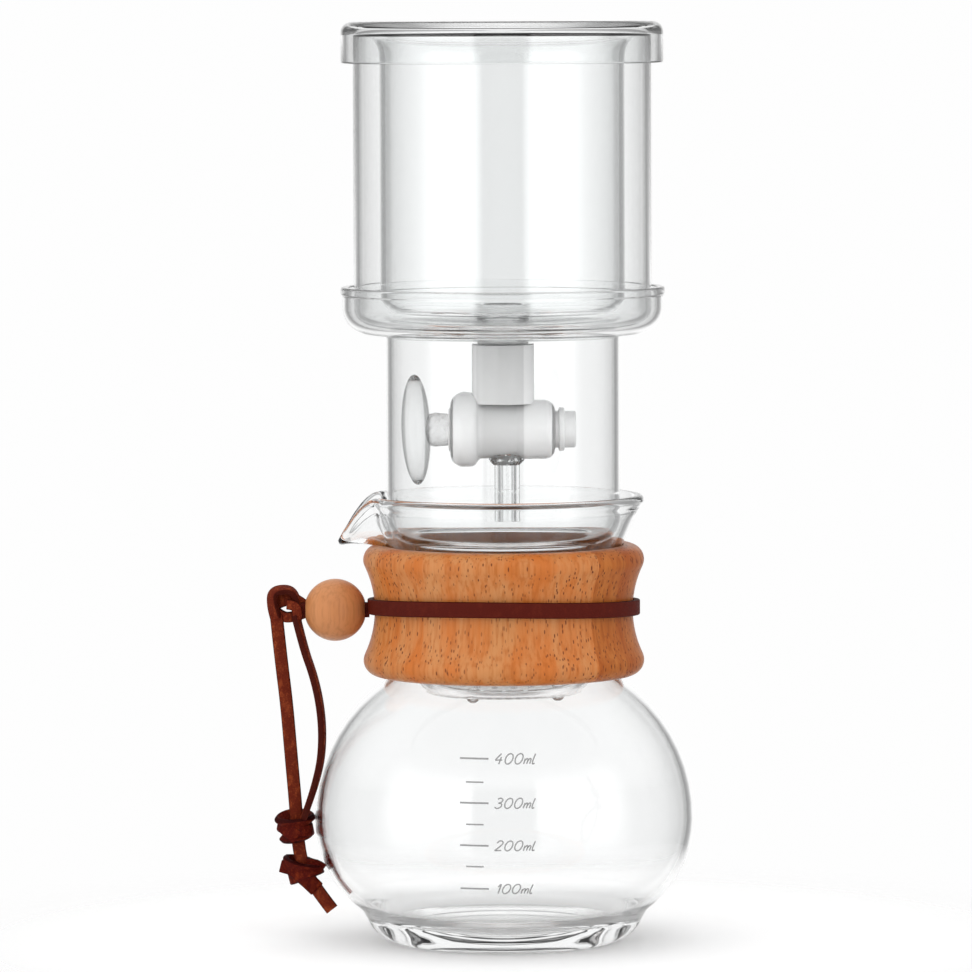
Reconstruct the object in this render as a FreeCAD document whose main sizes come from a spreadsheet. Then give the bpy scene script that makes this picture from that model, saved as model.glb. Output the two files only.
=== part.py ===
import FreeCAD, Part
import math
import os
import Sketcher

# Cold drip coffee tower, in millimetres.
# The origin is on the tower's axis, at the plane that it stands on, and +Z is up.
# The spout, the tied lace and the tap's handle point to -X, and the front is -Y.

SIZES = {
    # Gaps between pieces
    "seat_gap": (0.3, "gap where one loose piece rests on or in another"),
    "running_gap": (0.05, "radial clearance of the ground joints"),
    # Carafe
    "carafe_wall": (1.9, "glass wall of the carafe"),
    "foot_rise": (8.0, "how far the foot widens from the standing ring to its top"),
    "foot_ring_width": (7.0, "width of the flat standing ring"),
    "foot_kick": (0.8, "rise of the base inside the standing ring"),
    "foot_curve": (10.0, "radius of the rounding above the standing ring"),
    "foot_step": (1.63, "how far the belly stands out where it starts, past the top of the foot"),
    "foot_top": (6.6, "height of the top of the foot"),
    "belly_start": (9.2, "height where the belly starts above the foot"),
    "belly_radius": (53.7, "largest outer radius of the carafe"),
    "belly_base": (3.0, "height of the lowest point of the belly's round outline"),
    "belly_lower_curve": (32.0, "outline radius of the belly below the largest radius"),
    "belly_upper_curve": (48.0, "outline radius of the belly above the largest radius"),
    "neck_radius": (28.0, "outer radius of the neck"),
    "neck_curve": (15.0, "outline radius between belly and neck"),
    "neck_height": (13.73, "height of the straight neck"),
    "flare_curve": (10.0, "outline radius between neck and flare"),
    "flare_height": (26.5, "height of the flare, from the neck to the rim"),
    "rim_margin": (6.6, "how far the rim stands out, past the coffee chamber"),
    "rim_rounding": (0.8, "rounding of the carafe's rim"),
    # Pouring spout
    "spout_wall": (1.5, "glass wall of the spout"),
    "spout_keel_drop": (13.3, "fall of the spout's underside, below the rim"),
    "spout_root_in": (9.6, "distance of the spout's root inside the rim"),
    "spout_root_half_width": (17.6, "half width at the root"),
    "spout_root_drop": (1.2, "fall of the lip at the root, below the rim"),
    "spout_mouth_in": (3.1, "distance inside the rim of the place where the lip starts to drop"),
    "spout_mouth_half_width": (14.8, "half width where the lip starts to drop"),
    "spout_mouth_drop": (0.4, "fall of the lip there, below the rim"),
    "spout_bend_out": (2.1, "reach of the middle of the lip past the rim"),
    "spout_bend_half_width": (8.9, "half width at the middle of the lip"),
    "spout_bend_drop": (4.9, "fall of the lip at its middle"),
    "spout_tip_out": (6.7, "reach of the tip past the rim"),
    "spout_tip_half_width": (3.0, "half width at the tip"),
    "spout_tip_depth": (0.2, "depth of the channel at the tip"),
    # Coffee chamber
    "shoulder_width": (8.0, "how far the coffee chamber stands out, past the filter cup"),
    "chamber_wall": (1.5, "glass wall of the coffee chamber"),
    "chamber_rise": (58.8, "from the underside of the shoulder to the underside of the dish"),
    "shoulder_curve": (4.0, "outer rounding of the shoulder"),
    "cup_gap": (1.1, "radial gap between the filter cup and the inside of the neck"),
    "cup_depth": (43.6, "depth of the filter cup below the shoulder"),
    "cup_top_curve": (2.0, "rounding between shoulder and cup"),
    "cup_bottom_curve": (5.8, "outer rounding at the bottom of the cup"),
    "plate_thickness": (2.0, "thickness of the perforated floor"),
    "hole_radius": (0.9, "radius of a hole in the floor"),
    "hole_ring_step": (5.0, "distance between the rings of holes"),
    "nub_radius": (1.7, "radius of a drip nub"),
    "nub_margin": (0.1, "gap between the nubs and the edge of the floor"),
    "filter_margin": (1.2, "how far the filter disc reaches past the floor's flat part"),
    "filter_thickness": (0.6, "thickness of the filter disc"),
    # Seat dish
    "dish_gap": (1.6, "radial gap between the dish and the water vessel"),
    "dish_wall": (1.6, "wall and floor of the seat dish"),
    "dish_curve": (7.5, "outer rounding of the dish"),
    "dish_depth": (13.3, "height of the dish from its underside to its rim"),
    "dish_bead": (2.5, "height of the rim bead"),
    "dish_bead_out": (0.5, "how far the rim bead stands proud"),
    # Water vessel
    "vessel_radius": (42.0, "outer radius of the water vessel"),
    "vessel_wall": (1.6, "wall of each of the vessel's two shells"),
    "vessel_height": (83.55, "height of the vessel from its underside to its rim"),
    "vessel_curve": (5.0, "outer rounding at the bottom of the vessel"),
    "jacket_width": (5.8, "air gap between the two shells"),
    "jacket_floor": (1.9, "air gap between the two floors"),
    "inner_curve": (6.5, "outer rounding at the bottom of the inner shell"),
    "vessel_rim_rounding": (1.2, "rounding of the vessel's rim"),
    "flare_overlap": (0.2, "how far the inner shell's flare runs on over the outer shell"),
    # Ground outlet
    "outlet_radius": (7.3, "outer radius of the outlet where it leaves the floor"),
    "outlet_wall": (1.8, "wall of the outlet"),
    "outlet_drop": (16.6, "reach of the outlet below the vessel"),
    "outlet_taper": (0.5, "how much the outlet's radius shrinks over its reach"),
    # Lid
    "lid_gap": (1.9, "radial gap between the lid's skirt and the vessel"),
    "lid_wall": (1.5, "wall of the lid's skirt"),
    "lid_top_wall": (2.2, "thickness of the lid's top"),
    "lid_depth": (11.8, "height of the lid"),
    "lid_curve": (3.2, "outer rounding of the lid's top"),
    "lid_skirt_rounding": (0.6, "rounding at the bottom of the skirt"),
    # Tap
    "tap_drop": (29.0, "tap axis below the underside of the vessel"),
    "socket_wall": (1.45, "wall of the socket at its mouth"),
    "socket_drop": (4.7, "top of the socket below the underside of the vessel"),
    "socket_rounding": (0.3, "rounding of the socket's mouth"),
    "barrel_left": (15.6, "reach of the barrel towards the handle"),
    "barrel_right": (15.3, "reach of the barrel the other way"),
    "barrel_flange_radius": (11.0, "radius of the flange on the handle's side"),
    "barrel_flange_width": (6.5, "width of that flange"),
    "barrel_radius": (8.8, "radius of the barrel beside that flange"),
    "barrel_taper": (1.0, "how much the barrel's radius shrinks along it"),
    "barrel_end_radius": (8.6, "radius of the collar at the other end"),
    "barrel_end_width": (5.6, "width of that collar"),
    "barrel_rounding": (2.0, "rounding of the barrel's flanges"),
    "water_hole_radius": (1.4, "radius of the water hole through the barrel"),
    "drip_radius": (3.9, "outer radius of the drip tube"),
    "drip_bore": (1.9, "bore of the drip tube"),
    "drip_shift": (1.1, "drip tube's offset along the barrel"),
    "drip_drop": (24.2, "tip of the drip tube below the tap axis"),
    "plug_radius": (6.1, "radius of the plug at its wide end"),
    "plug_taper": (0.85, "how much the plug's radius shrinks along the barrel"),
    "plug_end": (3.2, "length of the plug's free end past the retaining ring"),
    "plug_hole_radius": (1.2, "radius of the hole through the plug"),
    "stem_radius": (4.55, "radius of the plug's stem"),
    "stem_set": (1.2, "how deep the stem is set in the handle"),
    "handle_gap": (4.8, "gap between the barrel and the handle"),
    "handle_half_thickness": (4.2, "half thickness of the handle"),
    "handle_half_width": (7.2, "half width of the handle"),
    "handle_half_length": (15.6, "half length of the handle"),
    "ring_radius": (6.2, "outer radius of the retaining ring"),
    "ring_width": (1.7, "width of the retaining ring"),
    # Wooden collar
    "collar_drop": (10.27, "collar's lower face below the start of the straight neck"),
    "collar_wood": (11.7, "how far the collar stands out, past the neck"),
    "collar_waist": (3.2, "depth of the collar's waist"),
    "collar_curve": (4.2, "rounding of the collar's edges"),
    "collar_split_angle": (-48.0, "direction of the joint between the halves, in degrees"),
    # Leather tie
    "band_thickness": (1.6, "thickness of the lace"),
    "band_width": (4.2, "width of the lace round the collar"),
    "band_gap": (0.45, "clearance between the lace and the collar's waist"),
    "band_tilt": (2.8, "tilt of the lace, higher in front, in degrees"),
    "bead_radius": (8.8, "radius of the wooden bead"),
    "bead_hole_gap": (0.18, "clearance of the lace's corners in the bead's hole"),
    "pair_thickness": (2.8, "thickness of the two lace ends side by side in the bead"),
    "pair_reach": (1.0, "how far the two ends stand out of the bead"),
    "bead_knot_radius": (4.6, "outer radius of the curled knot behind the bead"),
    "bead_knot_lace": (1.7, "half thickness of the lace in that knot"),
    "bead_knot_rise": (1.0, "height of the knot above the bead's middle"),
    "slip_knot_half_width": (5.3, "half width of the knot that holds the short end"),
    "slip_knot_half_depth": (3.9, "half depth of that knot"),
    "slip_knot_half_height": (4.4, "half height of that knot"),
    "end_knot_half_width": (5.7, "half width of the knot near the long end's tip"),
    "end_knot_half_depth": (3.4, "half depth of that knot"),
    "end_knot_half_height": (3.7, "half height of that knot"),
    "strand_width": (3.7, "width of a hanging lace end"),
    "strand_thickness": (1.9, "thickness of a hanging lace end"),
}

# The hanging ends of the lace, from the knot at the bead down: X, Y and Z of each turn
LONG_STRAND = (
    (-64.3, -0.5, 92.4),
    (-63.1, -0.8, 80.5),
    (-61.5, -1.2, 67.5),
    (-60.3, -1.4, 52.5),
    (-59.1, -1.2, 38.5),
    (-58.6, -1.0, 28.6),
    (-57.2, -1.2, 20.8),
    (-53.2, -1.8, 14.5),
    (-48.9, -2.2, 8.9),
)
SHORT_STRAND = (
    (-58.8, -0.8, 92.4),
    (-56.6, -3.0, 83.5),
    (-53.8, -5.6, 76.0),
    (-52.0, -7.6, 68.5),
    (-51.2, -9.0, 60.5),
    (-51.6, -9.6, 52.5),
    (-53.3, -8.2, 45.5),
    (-55.4, -5.0, 39.0),
    (-57.4, -1.8, 33.4),
)
SLIP_KNOT_CENTRE = (-59.3, -1.0, 32.2)
END_KNOT_CENTRE = (-57.5, -1.2, 20.2)
STRAND_TURN_SHARE = 0.45

# How far a cut runs past the glass: above a rim, and out of the spout's tip
CUT_PAST = 4.0
SPOUT_CUT_PAST = 1.0

# Rings of holes in the floor of the filter cup: how many holes each ring has
HOLE_RING_COUNTS = (6, 12, 18)
NUB_COUNT = 4
NUB_START_ANGLE = -120.0

doc = FreeCAD.newDocument("cold_drip_tower")


class Size:
    """A length that knows its value and the sheet expression that gives it."""

    def __init__(self, value, text):
        self.value = float(value)
        self.text = text

    def __add__(self, other):
        other = as_size(other)
        return Size(self.value + other.value, f"({self.text} + {other.text})")

    def __radd__(self, other):
        return as_size(other) + self

    def __sub__(self, other):
        other = as_size(other)
        return Size(self.value - other.value, f"({self.text} - {other.text})")

    def __rsub__(self, other):
        return as_size(other) - self

    def __mul__(self, other):
        other = as_size(other)
        return Size(self.value * other.value, f"({self.text} * {other.text})")

    def __rmul__(self, other):
        return as_size(other) * self

    def __truediv__(self, other):
        other = as_size(other)
        return Size(self.value / other.value, f"({self.text} / {other.text})")

    def __neg__(self):
        return Size(-self.value, f"(0 - {self.text})")

    def root(self):
        """Give the square root of this size."""
        return Size(math.sqrt(self.value), f"sqrt({self.text})")


def as_size(value):
    """Give a Size for a Size or a plain number."""
    if isinstance(value, Size):
        return value
    return Size(value, f"{value:g}")


class Sheet:
    """The driving dimensions, read as attributes and kept in a spreadsheet."""

    def __init__(self, sizes):
        self.page = doc.addObject("Spreadsheet::Sheet", "Sizes")
        for row, (alias, (value, meaning)) in enumerate(sizes.items(), start=1):
            self.page.set(f"A{row}", meaning)
            self.page.set(f"B{row}", str(value))
            self.page.setAlias(f"B{row}", alias)
            setattr(self, alias, Size(value, f"Sizes.{alias}"))


size = Sheet(SIZES)


class Corner:
    """One corner of an outline, with its rounding and the way to the next corner."""

    def __init__(self, across, up, rounding, arc_radius, arc_turn):
        self.across = as_size(across)
        self.up = as_size(up)
        self.rounding = None if rounding is None else as_size(rounding)
        self.arc_radius = None if arc_radius is None else as_size(arc_radius)
        self.arc_turn = arc_turn

    def point(self):
        """Give the corner as a point of the sketch plane."""
        return FreeCAD.Vector(self.across.value, self.up.value, 0)


class Outline:
    """A closed outline of lines and arcs, drawn as a sketch that is bound to the sheet."""

    def __init__(self):
        self.corners = []

    def line(self, across, up, rounding=None):
        """Add a corner that a straight line leaves; rounding is its radius."""
        self.corners.append(Corner(across, up, rounding, None, 0))

    def left_arc(self, across, up, radius):
        """Add a corner that an arc leaves, turning left on its way to the next corner."""
        self.corners.append(Corner(across, up, None, radius, 1))

    def right_arc(self, across, up, radius):
        """Add a corner that an arc leaves, turning right on its way to the next corner."""
        self.corners.append(Corner(across, up, None, radius, -1))

    def draw(self, body, name, plane="XZ_Plane", offset=None):
        """Draw the outline in a new sketch of the body and bind it to the sheet."""
        sketch = new_sketch(body, name, plane, offset)
        count = len(self.corners)
        starts, ends, bends = self.trimmed_corners()
        geometry = []
        for index, corner in enumerate(self.corners):
            start = starts[index]
            end = ends[(index + 1) % count]
            if corner.arc_radius is None:
                geometry.append(Part.LineSegment(start, end))
            else:
                centre = arc_centre(start, end, corner.arc_radius.value, corner.arc_turn)
                geometry.append(arc_about(centre, start, end, corner.arc_turn))
        bend_index = {}
        for index, bend in bends.items():
            bend_index[index] = len(geometry)
            geometry.append(bend)
        sketch.addGeometry(geometry, False)
        first_point = len(geometry)
        marks = [self.corners[index].point() for index in bend_index]
        if marks:
            sketch.addGeometry([Part.Point(mark) for mark in marks], True)
        rules = []
        driven = []
        for index, corner in enumerate(self.corners):
            edge_in = (index - 1) % count
            head = (edge_in, self.end_mark(edge_in))
            tail = (index, self.start_mark(index))
            if index in bend_index:
                bend = bend_index[index]
                mark = first_point + list(bend_index).index(index)
                turn = self.turn_at(index)
                bend_start, bend_end = (1, 2) if turn > 0 else (2, 1)
                rules.append(Sketcher.Constraint("Tangent", *head, bend, bend_start))
                rules.append(Sketcher.Constraint("Tangent", bend, bend_end, *tail))
                rules.append(Sketcher.Constraint("PointOnObject", mark, 1, edge_in))
                rules.append(Sketcher.Constraint("PointOnObject", mark, 1, index))
                driven.append((len(rules), corner.rounding))
                rules.append(Sketcher.Constraint("Radius", bend, corner.rounding.value))
                place = (mark, 1)
            else:
                rules.append(Sketcher.Constraint("Coincident", *head, *tail))
                place = tail
            driven.append((len(rules), corner.across))
            rules.append(Sketcher.Constraint("DistanceX", -1, 1, *place, corner.across.value))
            driven.append((len(rules), corner.up))
            rules.append(Sketcher.Constraint("DistanceY", -1, 1, *place, corner.up.value))
            if corner.arc_radius is not None:
                driven.append((len(rules), corner.arc_radius))
                rules.append(Sketcher.Constraint("Radius", index, corner.arc_radius.value))
        sketch.addConstraint(rules)
        for index, value in driven:
            sketch.setExpression(f"Constraints[{index}]", value.text)
        return sketch

    def start_mark(self, index):
        """Say which end of an edge lies at its first corner."""
        return 2 if self.corners[index].arc_turn < 0 else 1

    def end_mark(self, index):
        """Say which end of an edge lies at its last corner."""
        return 1 if self.corners[index].arc_turn < 0 else 2

    def turn_at(self, index):
        """Say which way the outline turns at a corner: positive is to the left."""
        here = self.corners[index].point()
        way_in = here - self.corners[index - 1].point()
        way_out = self.corners[(index + 1) % len(self.corners)].point() - here
        return way_in.x * way_out.y - way_in.y * way_out.x

    def trimmed_corners(self):
        """Give where each edge starts and ends, and the arcs of the rounded corners."""
        starts = {}
        ends = {}
        bends = {}
        for index, corner in enumerate(self.corners):
            here = corner.point()
            starts[index] = here
            ends[index] = here
            if corner.rounding is None:
                continue
            back = (self.corners[index - 1].point() - here).normalize()
            ahead = (self.corners[(index + 1) % len(self.corners)].point() - here).normalize()
            half = back.getAngle(ahead) / 2
            radius = corner.rounding.value
            reach = radius / math.tan(half)
            ends[index] = here + back * reach
            starts[index] = here + ahead * reach
            centre = here + (back + ahead).normalize() * (radius / math.sin(half))
            turn = self.turn_at(index)
            bends[index] = arc_about(centre, ends[index], starts[index], turn)
        return starts, ends, bends


def arc_centre(start, end, radius, turn):
    """Give the centre of an arc of under a half circle between two points."""
    middle = (start + end) * 0.5
    chord = end - start
    left = FreeCAD.Vector(-chord.y, chord.x, 0).normalize()
    rise = math.sqrt(max(radius ** 2 - (chord.Length / 2) ** 2, 0.0))
    return middle + left * math.copysign(rise, turn)


def arc_about(centre, start, end, turn):
    """Give the arc about a centre that leads from start to end, turning left or right."""
    if turn < 0:
        start, end = end, start
    circle = Part.Circle(centre, FreeCAD.Vector(0, 0, 1), (start - centre).Length)
    from_angle = math.atan2(start.y - centre.y, start.x - centre.x)
    to_angle = math.atan2(end.y - centre.y, end.x - centre.x)
    if to_angle <= from_angle:
        to_angle += 2 * math.pi
    return Part.ArcOfCircle(circle, from_angle, to_angle)


def new_sketch(body, name, plane, offset=None):
    """Add a sketch to a body, on one of its own origin planes."""
    sketch = body.newObject("Sketcher::SketchObject", name)
    support = [item for item in body.Origin.OriginFeatures if item.Role == plane][0]
    sketch.AttachmentSupport = [(support, "")]
    sketch.MapMode = "FlatFace"
    if offset is not None:
        sketch.setExpression("AttachmentOffset.Base.z", as_size(offset).text)
    return sketch


def circle_sketch(body, name, plane, circles, offset=None):
    """Draw circles, each given as centre across, centre up and radius."""
    sketch = new_sketch(body, name, plane, offset)
    for across, up, radius in circles:
        across, up, radius = as_size(across), as_size(up), as_size(radius)
        centre = FreeCAD.Vector(across.value, up.value, 0)
        index = sketch.addGeometry(Part.Circle(centre, FreeCAD.Vector(0, 0, 1), radius.value), False)
        rules = [
            Sketcher.Constraint("DistanceX", -1, 1, index, 3, across.value),
            Sketcher.Constraint("DistanceY", -1, 1, index, 3, up.value),
            Sketcher.Constraint("Radius", index, radius.value),
        ]
        first = sketch.addConstraint(rules)[0]
        for step, value in enumerate((across, up, radius)):
            sketch.setExpression(f"Constraints[{first + step}]", value.text)
    return sketch


def new_body(label, x=None, z=None, turn=None):
    """Start a body for one sub-part, placed by expressions from the sheet."""
    body = doc.addObject("PartDesign::Body", label)
    place(body, x=x, z=z)
    if turn is not None:
        body.setExpression("Placement.Rotation.Angle", as_size(turn).text)
    return body


def place(item, x=None, y=None, z=None):
    """Bind the position of an object to the sheet."""
    for axis, value in (("x", x), ("y", y), ("z", z)):
        if value is not None:
            item.setExpression(f"Placement.Base.{axis}", as_size(value).text)


def spin(body, outline, name, feature="Revolution", axis="V_Axis", angle=360.0):
    """Turn an outline about an axis of its sketch, adding or cutting."""
    sketch = outline.draw(body, name + "_outline")
    turned = body.newObject(f"PartDesign::{feature}", name)
    turned.Profile = sketch
    turned.ReferenceAxis = (sketch, [axis])
    turned.Angle = angle
    body.Tip = turned
    return turned


def push(body, sketch, name, feature, length, both_ways=False, reverse=False):
    """Extrude a sketch, adding or cutting, by a length from the sheet."""
    pushed = body.newObject(f"PartDesign::{feature}", name)
    pushed.Profile = sketch
    pushed.setExpression("Length", as_size(length).text)
    pushed.Midplane = both_ways
    pushed.Reversed = reverse
    body.Tip = pushed
    return pushed


def repeat_around(body, feature, name, count):
    """Repeat a feature of a body evenly round its vertical axis."""
    pattern = body.newObject("PartDesign::PolarPattern", name)
    pattern.Originals = [feature]
    upright = [item for item in body.Origin.OriginFeatures if item.Role == "Z_Axis"][0]
    pattern.Axis = (upright, [""])
    pattern.Angle = 360.0
    pattern.Occurrences = count
    body.Tip = pattern
    return pattern


# Sizes that follow from the driving dimensions

# Outline centres of the belly, and of the curve between belly and neck
belly_up = size.belly_base + size.belly_lower_curve
lower_centre = size.belly_radius - size.belly_lower_curve
upper_centre = size.belly_radius - size.belly_upper_curve
neck_centre = size.neck_radius + size.neck_curve
curve_sum = size.belly_upper_curve + size.neck_curve
neck_reach = neck_centre - upper_centre
neck_rise = (curve_sum * curve_sum - neck_reach * neck_reach).root()
neck_curve_up = belly_up + neck_rise

# The cup passes through the neck, the chamber stands out past the cup, and the rim past both
cup_radius = size.neck_radius - size.carafe_wall - size.cup_gap
chamber_radius = cup_radius + size.shoulder_width
rim_radius = chamber_radius + size.rim_margin
flare_up = neck_curve_up + size.neck_height
rim_up = flare_up + size.flare_height
spout_keel_up = rim_up - size.spout_keel_drop

# Slope of the carafe's flare, and how far along it one unit of height goes
flare_slope = (rim_radius - size.neck_radius) / size.flare_height
flare_stretch = (1 + flare_slope * flare_slope).root()


def flare_radius_at(height, offset):
    """Give the flare's radius at a height, on a surface that lies offset outside it."""
    return size.neck_radius + flare_slope * (height - flare_up) + offset * flare_stretch


def flare_corner_up(offset):
    """Give the height where the offset neck meets the offset flare."""
    return flare_up + offset * (1 - flare_stretch) / flare_slope


# The chamber's shoulder hangs in the flare of the carafe
shoulder_centre = chamber_radius - size.shoulder_curve
shoulder_touch = size.shoulder_curve + size.seat_gap
shoulder_centre_up = flare_up + (
    shoulder_centre + shoulder_touch * flare_stretch
    - size.neck_radius + size.carafe_wall * flare_stretch
) / flare_slope
chamber_up = shoulder_centre_up - size.shoulder_curve
chamber_inner_radius = chamber_radius - size.chamber_wall

# Stack of the pieces above the carafe
vessel_up = chamber_up + size.chamber_rise + size.dish_wall + size.seat_gap
lid_up = vessel_up + size.vessel_height + size.seat_gap
tap_up = vessel_up - size.tap_drop

# The vessel stands in the dish, and the lid hangs over it
dish_radius = size.vessel_radius + size.dish_gap + size.dish_wall
lid_radius = size.vessel_radius + size.lid_gap + size.lid_wall
floor_radius = cup_radius - size.cup_bottom_curve

# The tap, from its axis and from the tower's axis
outlet_bore = size.outlet_radius - size.outlet_wall
socket_radius = size.outlet_radius + size.running_gap + size.socket_wall
socket_up = size.tap_drop - size.socket_drop
handle_out = size.barrel_left + size.handle_gap + size.handle_half_thickness
stem_reach = size.barrel_left + size.handle_gap + size.stem_set
ring_start = size.barrel_right + size.seat_gap
plug_reach = ring_start + size.ring_width + size.plug_end

# The collar sits under the spout, round the neck
collar_up = neck_curve_up - size.collar_drop
collar_top = spout_keel_up - size.seat_gap
collar_radius = size.neck_radius + size.collar_wood
collar_waist_radius = collar_radius - size.collar_waist

# The leather tie
collar_waist_up = (collar_up + collar_top) / 2
band_inner_radius = collar_waist_radius + size.band_gap
band_outer_radius = band_inner_radius + size.band_thickness
bead_out = band_outer_radius + size.seat_gap + size.bead_radius
pair_corner = (size.pair_thickness * size.pair_thickness + size.band_width * size.band_width).root() / 2
bead_hole_radius = pair_corner + size.bead_hole_gap


def carafe_wall_outline(outline, inset):
    """Add the belly, neck and start of the flare, inset from the outer surface."""
    upper_curve = size.belly_upper_curve - inset
    meet_out = upper_centre + neck_reach * upper_curve / curve_sum
    meet_up = belly_up + neck_rise * upper_curve / curve_sum
    outline.left_arc(size.belly_radius - inset, belly_up, upper_curve)
    outline.right_arc(meet_out, meet_up, size.neck_curve + inset)
    outline.line(size.neck_radius - inset, neck_curve_up)
    outline.line(size.neck_radius - inset, flare_corner_up(-as_size(inset)), size.flare_curve + inset)


def carafe_outer_outline():
    """Outline of the carafe's outer surface, closed along the axis."""
    drop = belly_up - size.belly_start
    start_out = lower_centre + (
        size.belly_lower_curve * size.belly_lower_curve - drop * drop
    ).root()
    foot_top_out = start_out - size.foot_step
    foot_out = foot_top_out - size.foot_rise
    outline = Outline()
    outline.line(0, size.foot_kick)
    outline.line(foot_out - size.foot_ring_width, 0)
    outline.left_arc(foot_out, 0, size.foot_curve)
    outline.line(foot_top_out, size.foot_top)
    outline.left_arc(start_out, size.belly_start, size.belly_lower_curve)
    carafe_wall_outline(outline, 0)
    outline.line(rim_radius, rim_up, size.rim_rounding)
    outline.line(0, rim_up)
    return outline


def carafe_inner_outline():
    """Outline of the carafe's hollow, open past the rim."""
    above_rim = rim_up + CUT_PAST
    lower_curve = size.belly_lower_curve - size.carafe_wall
    floor_up = belly_up - lower_curve
    outline = Outline()
    outline.line(0, floor_up)
    outline.left_arc(lower_centre, floor_up, lower_curve)
    carafe_wall_outline(outline, size.carafe_wall)
    rim_start = rim_up - size.rim_rounding
    rim_inner = flare_radius_at(rim_start, -size.carafe_wall)
    outline.line(rim_inner, rim_start)
    outline.line(rim_inner + size.rim_rounding, rim_up)
    outline.line(rim_inner + size.rim_rounding, above_rim)
    outline.line(0, above_rim)
    return outline


def spout_sections():
    """Give each section of the spout: distance out, half width and height of its lip."""
    tip_up = spout_keel_up + size.spout_wall + size.spout_tip_depth
    return (
        (rim_radius - size.spout_root_in, size.spout_root_half_width, rim_up - size.spout_root_drop),
        (rim_radius - size.spout_mouth_in, size.spout_mouth_half_width, rim_up - size.spout_mouth_drop),
        (rim_radius + size.spout_bend_out, size.spout_bend_half_width, rim_up - size.spout_bend_drop),
        (rim_radius + size.spout_tip_out, size.spout_tip_half_width, tip_up),
    )


def spout_loft(body, name, feature, wall):
    """Loft the spout through its trough-shaped sections, its wall taken off all round."""
    sketches = []
    stations = spout_sections()
    for index, (out, half_width, lip_up) in enumerate(stations):
        depth = lip_up - spout_keel_up
        trough = (half_width * half_width + depth * depth) / (2 * depth)
        outline = Outline()
        if wall is None:
            outline.left_arc(-half_width, lip_up, trough)
            outline.line(half_width, lip_up)
            shift = as_size(0)
        else:
            inner = trough - wall
            rise = trough - depth
            inner_half = (inner * inner - rise * rise).root()
            outline.left_arc(-inner_half, lip_up, inner)
            outline.line(inner_half, lip_up)
            outline.line(inner_half, lip_up + CUT_PAST)
            outline.line(-inner_half, lip_up + CUT_PAST)
            at_end = index == len(stations) - 1
            shift = as_size(SPOUT_CUT_PAST if at_end else 0)
        sketches.append(outline.draw(body, f"{name}_section_{index}", "YZ_Plane", -(out + shift)))
    loft = body.newObject(f"PartDesign::{feature}", name)
    loft.Profile = sketches[0]
    loft.Sections = sketches[1:]
    loft.Ruled = False
    body.Tip = loft
    return loft


def make_carafe():
    """Glass carafe: turned shell with a drooping pouring spout."""
    body = new_body("carafe")
    spin(body, carafe_outer_outline(), "carafe_blank")
    spout_loft(body, "spout_blank", "AdditiveLoft", None)
    spin(body, carafe_inner_outline(), "carafe_hollow", "Groove")
    spout_loft(body, "spout_channel", "SubtractiveLoft", size.spout_wall)


def collar_outline():
    """Outline of the collar's wall: waisted outside, and following the neck inside."""
    curve = size.collar_curve
    bulge_centre = collar_radius - curve
    low_up = collar_up + curve
    high_up = collar_top - curve
    # Radius of the waist's hollow that runs smoothly into both edges
    depth = size.collar_waist
    half_span = (high_up - low_up) / 2
    both = (depth * depth + half_span * half_span) / (2 * depth)
    hollow = both - curve
    hollow_centre = collar_waist_radius + hollow
    meet_out = bulge_centre + (hollow_centre - bulge_centre) * curve / both
    meet_step = half_span * curve / both
    bore_curve = size.neck_curve - size.seat_gap
    bore_drop = neck_curve_up - collar_up
    bore_low = neck_centre - (bore_curve * bore_curve - bore_drop * bore_drop).root()
    outline = Outline()
    outline.line(bore_low, collar_up)
    outline.left_arc(bulge_centre, collar_up, curve)
    outline.right_arc(meet_out, low_up + meet_step, hollow)
    outline.left_arc(meet_out, high_up - meet_step, curve)
    outline.line(bulge_centre, collar_top)
    outline.line(flare_radius_at(collar_top, size.seat_gap), collar_top)
    bore = size.neck_radius + size.seat_gap
    outline.line(bore, flare_corner_up(size.seat_gap), size.flare_curve - size.seat_gap)
    outline.left_arc(bore, neck_curve_up, bore_curve)
    return outline


def make_collar_half(label, turn):
    """One half of the turned wooden collar, meeting the other on a plane through the axis."""
    body = new_body(label, turn=turn)
    spin(body, collar_outline(), label + "_turned", angle=180.0)


def filter_cup_outline():
    """Outline of the shoulder and cup, from the underside of the shoulder."""
    wall = size.chamber_wall
    low_up = -(size.cup_depth - size.cup_bottom_curve)
    outline = Outline()
    outline.line(chamber_inner_radius, size.shoulder_curve)
    outline.right_arc(chamber_radius, size.shoulder_curve, size.shoulder_curve)
    outline.line(shoulder_centre, 0)
    outline.line(cup_radius, 0, size.cup_top_curve)
    outline.right_arc(cup_radius, low_up, size.cup_bottom_curve)
    outline.line(floor_radius, -size.cup_depth)
    outline.left_arc(floor_radius, -size.cup_depth + wall, size.cup_bottom_curve - wall)
    outline.line(cup_radius - wall, low_up)
    outline.line(cup_radius - wall, wall, size.cup_top_curve + wall)
    outline.left_arc(shoulder_centre, wall, size.shoulder_curve - wall)
    return outline


def make_filter_cup():
    """Shoulder that hangs in the carafe's flare, and the cup below it."""
    body = new_body("filter_cup", z=chamber_up)
    spin(body, filter_cup_outline(), "filter_cup_turned")


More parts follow.
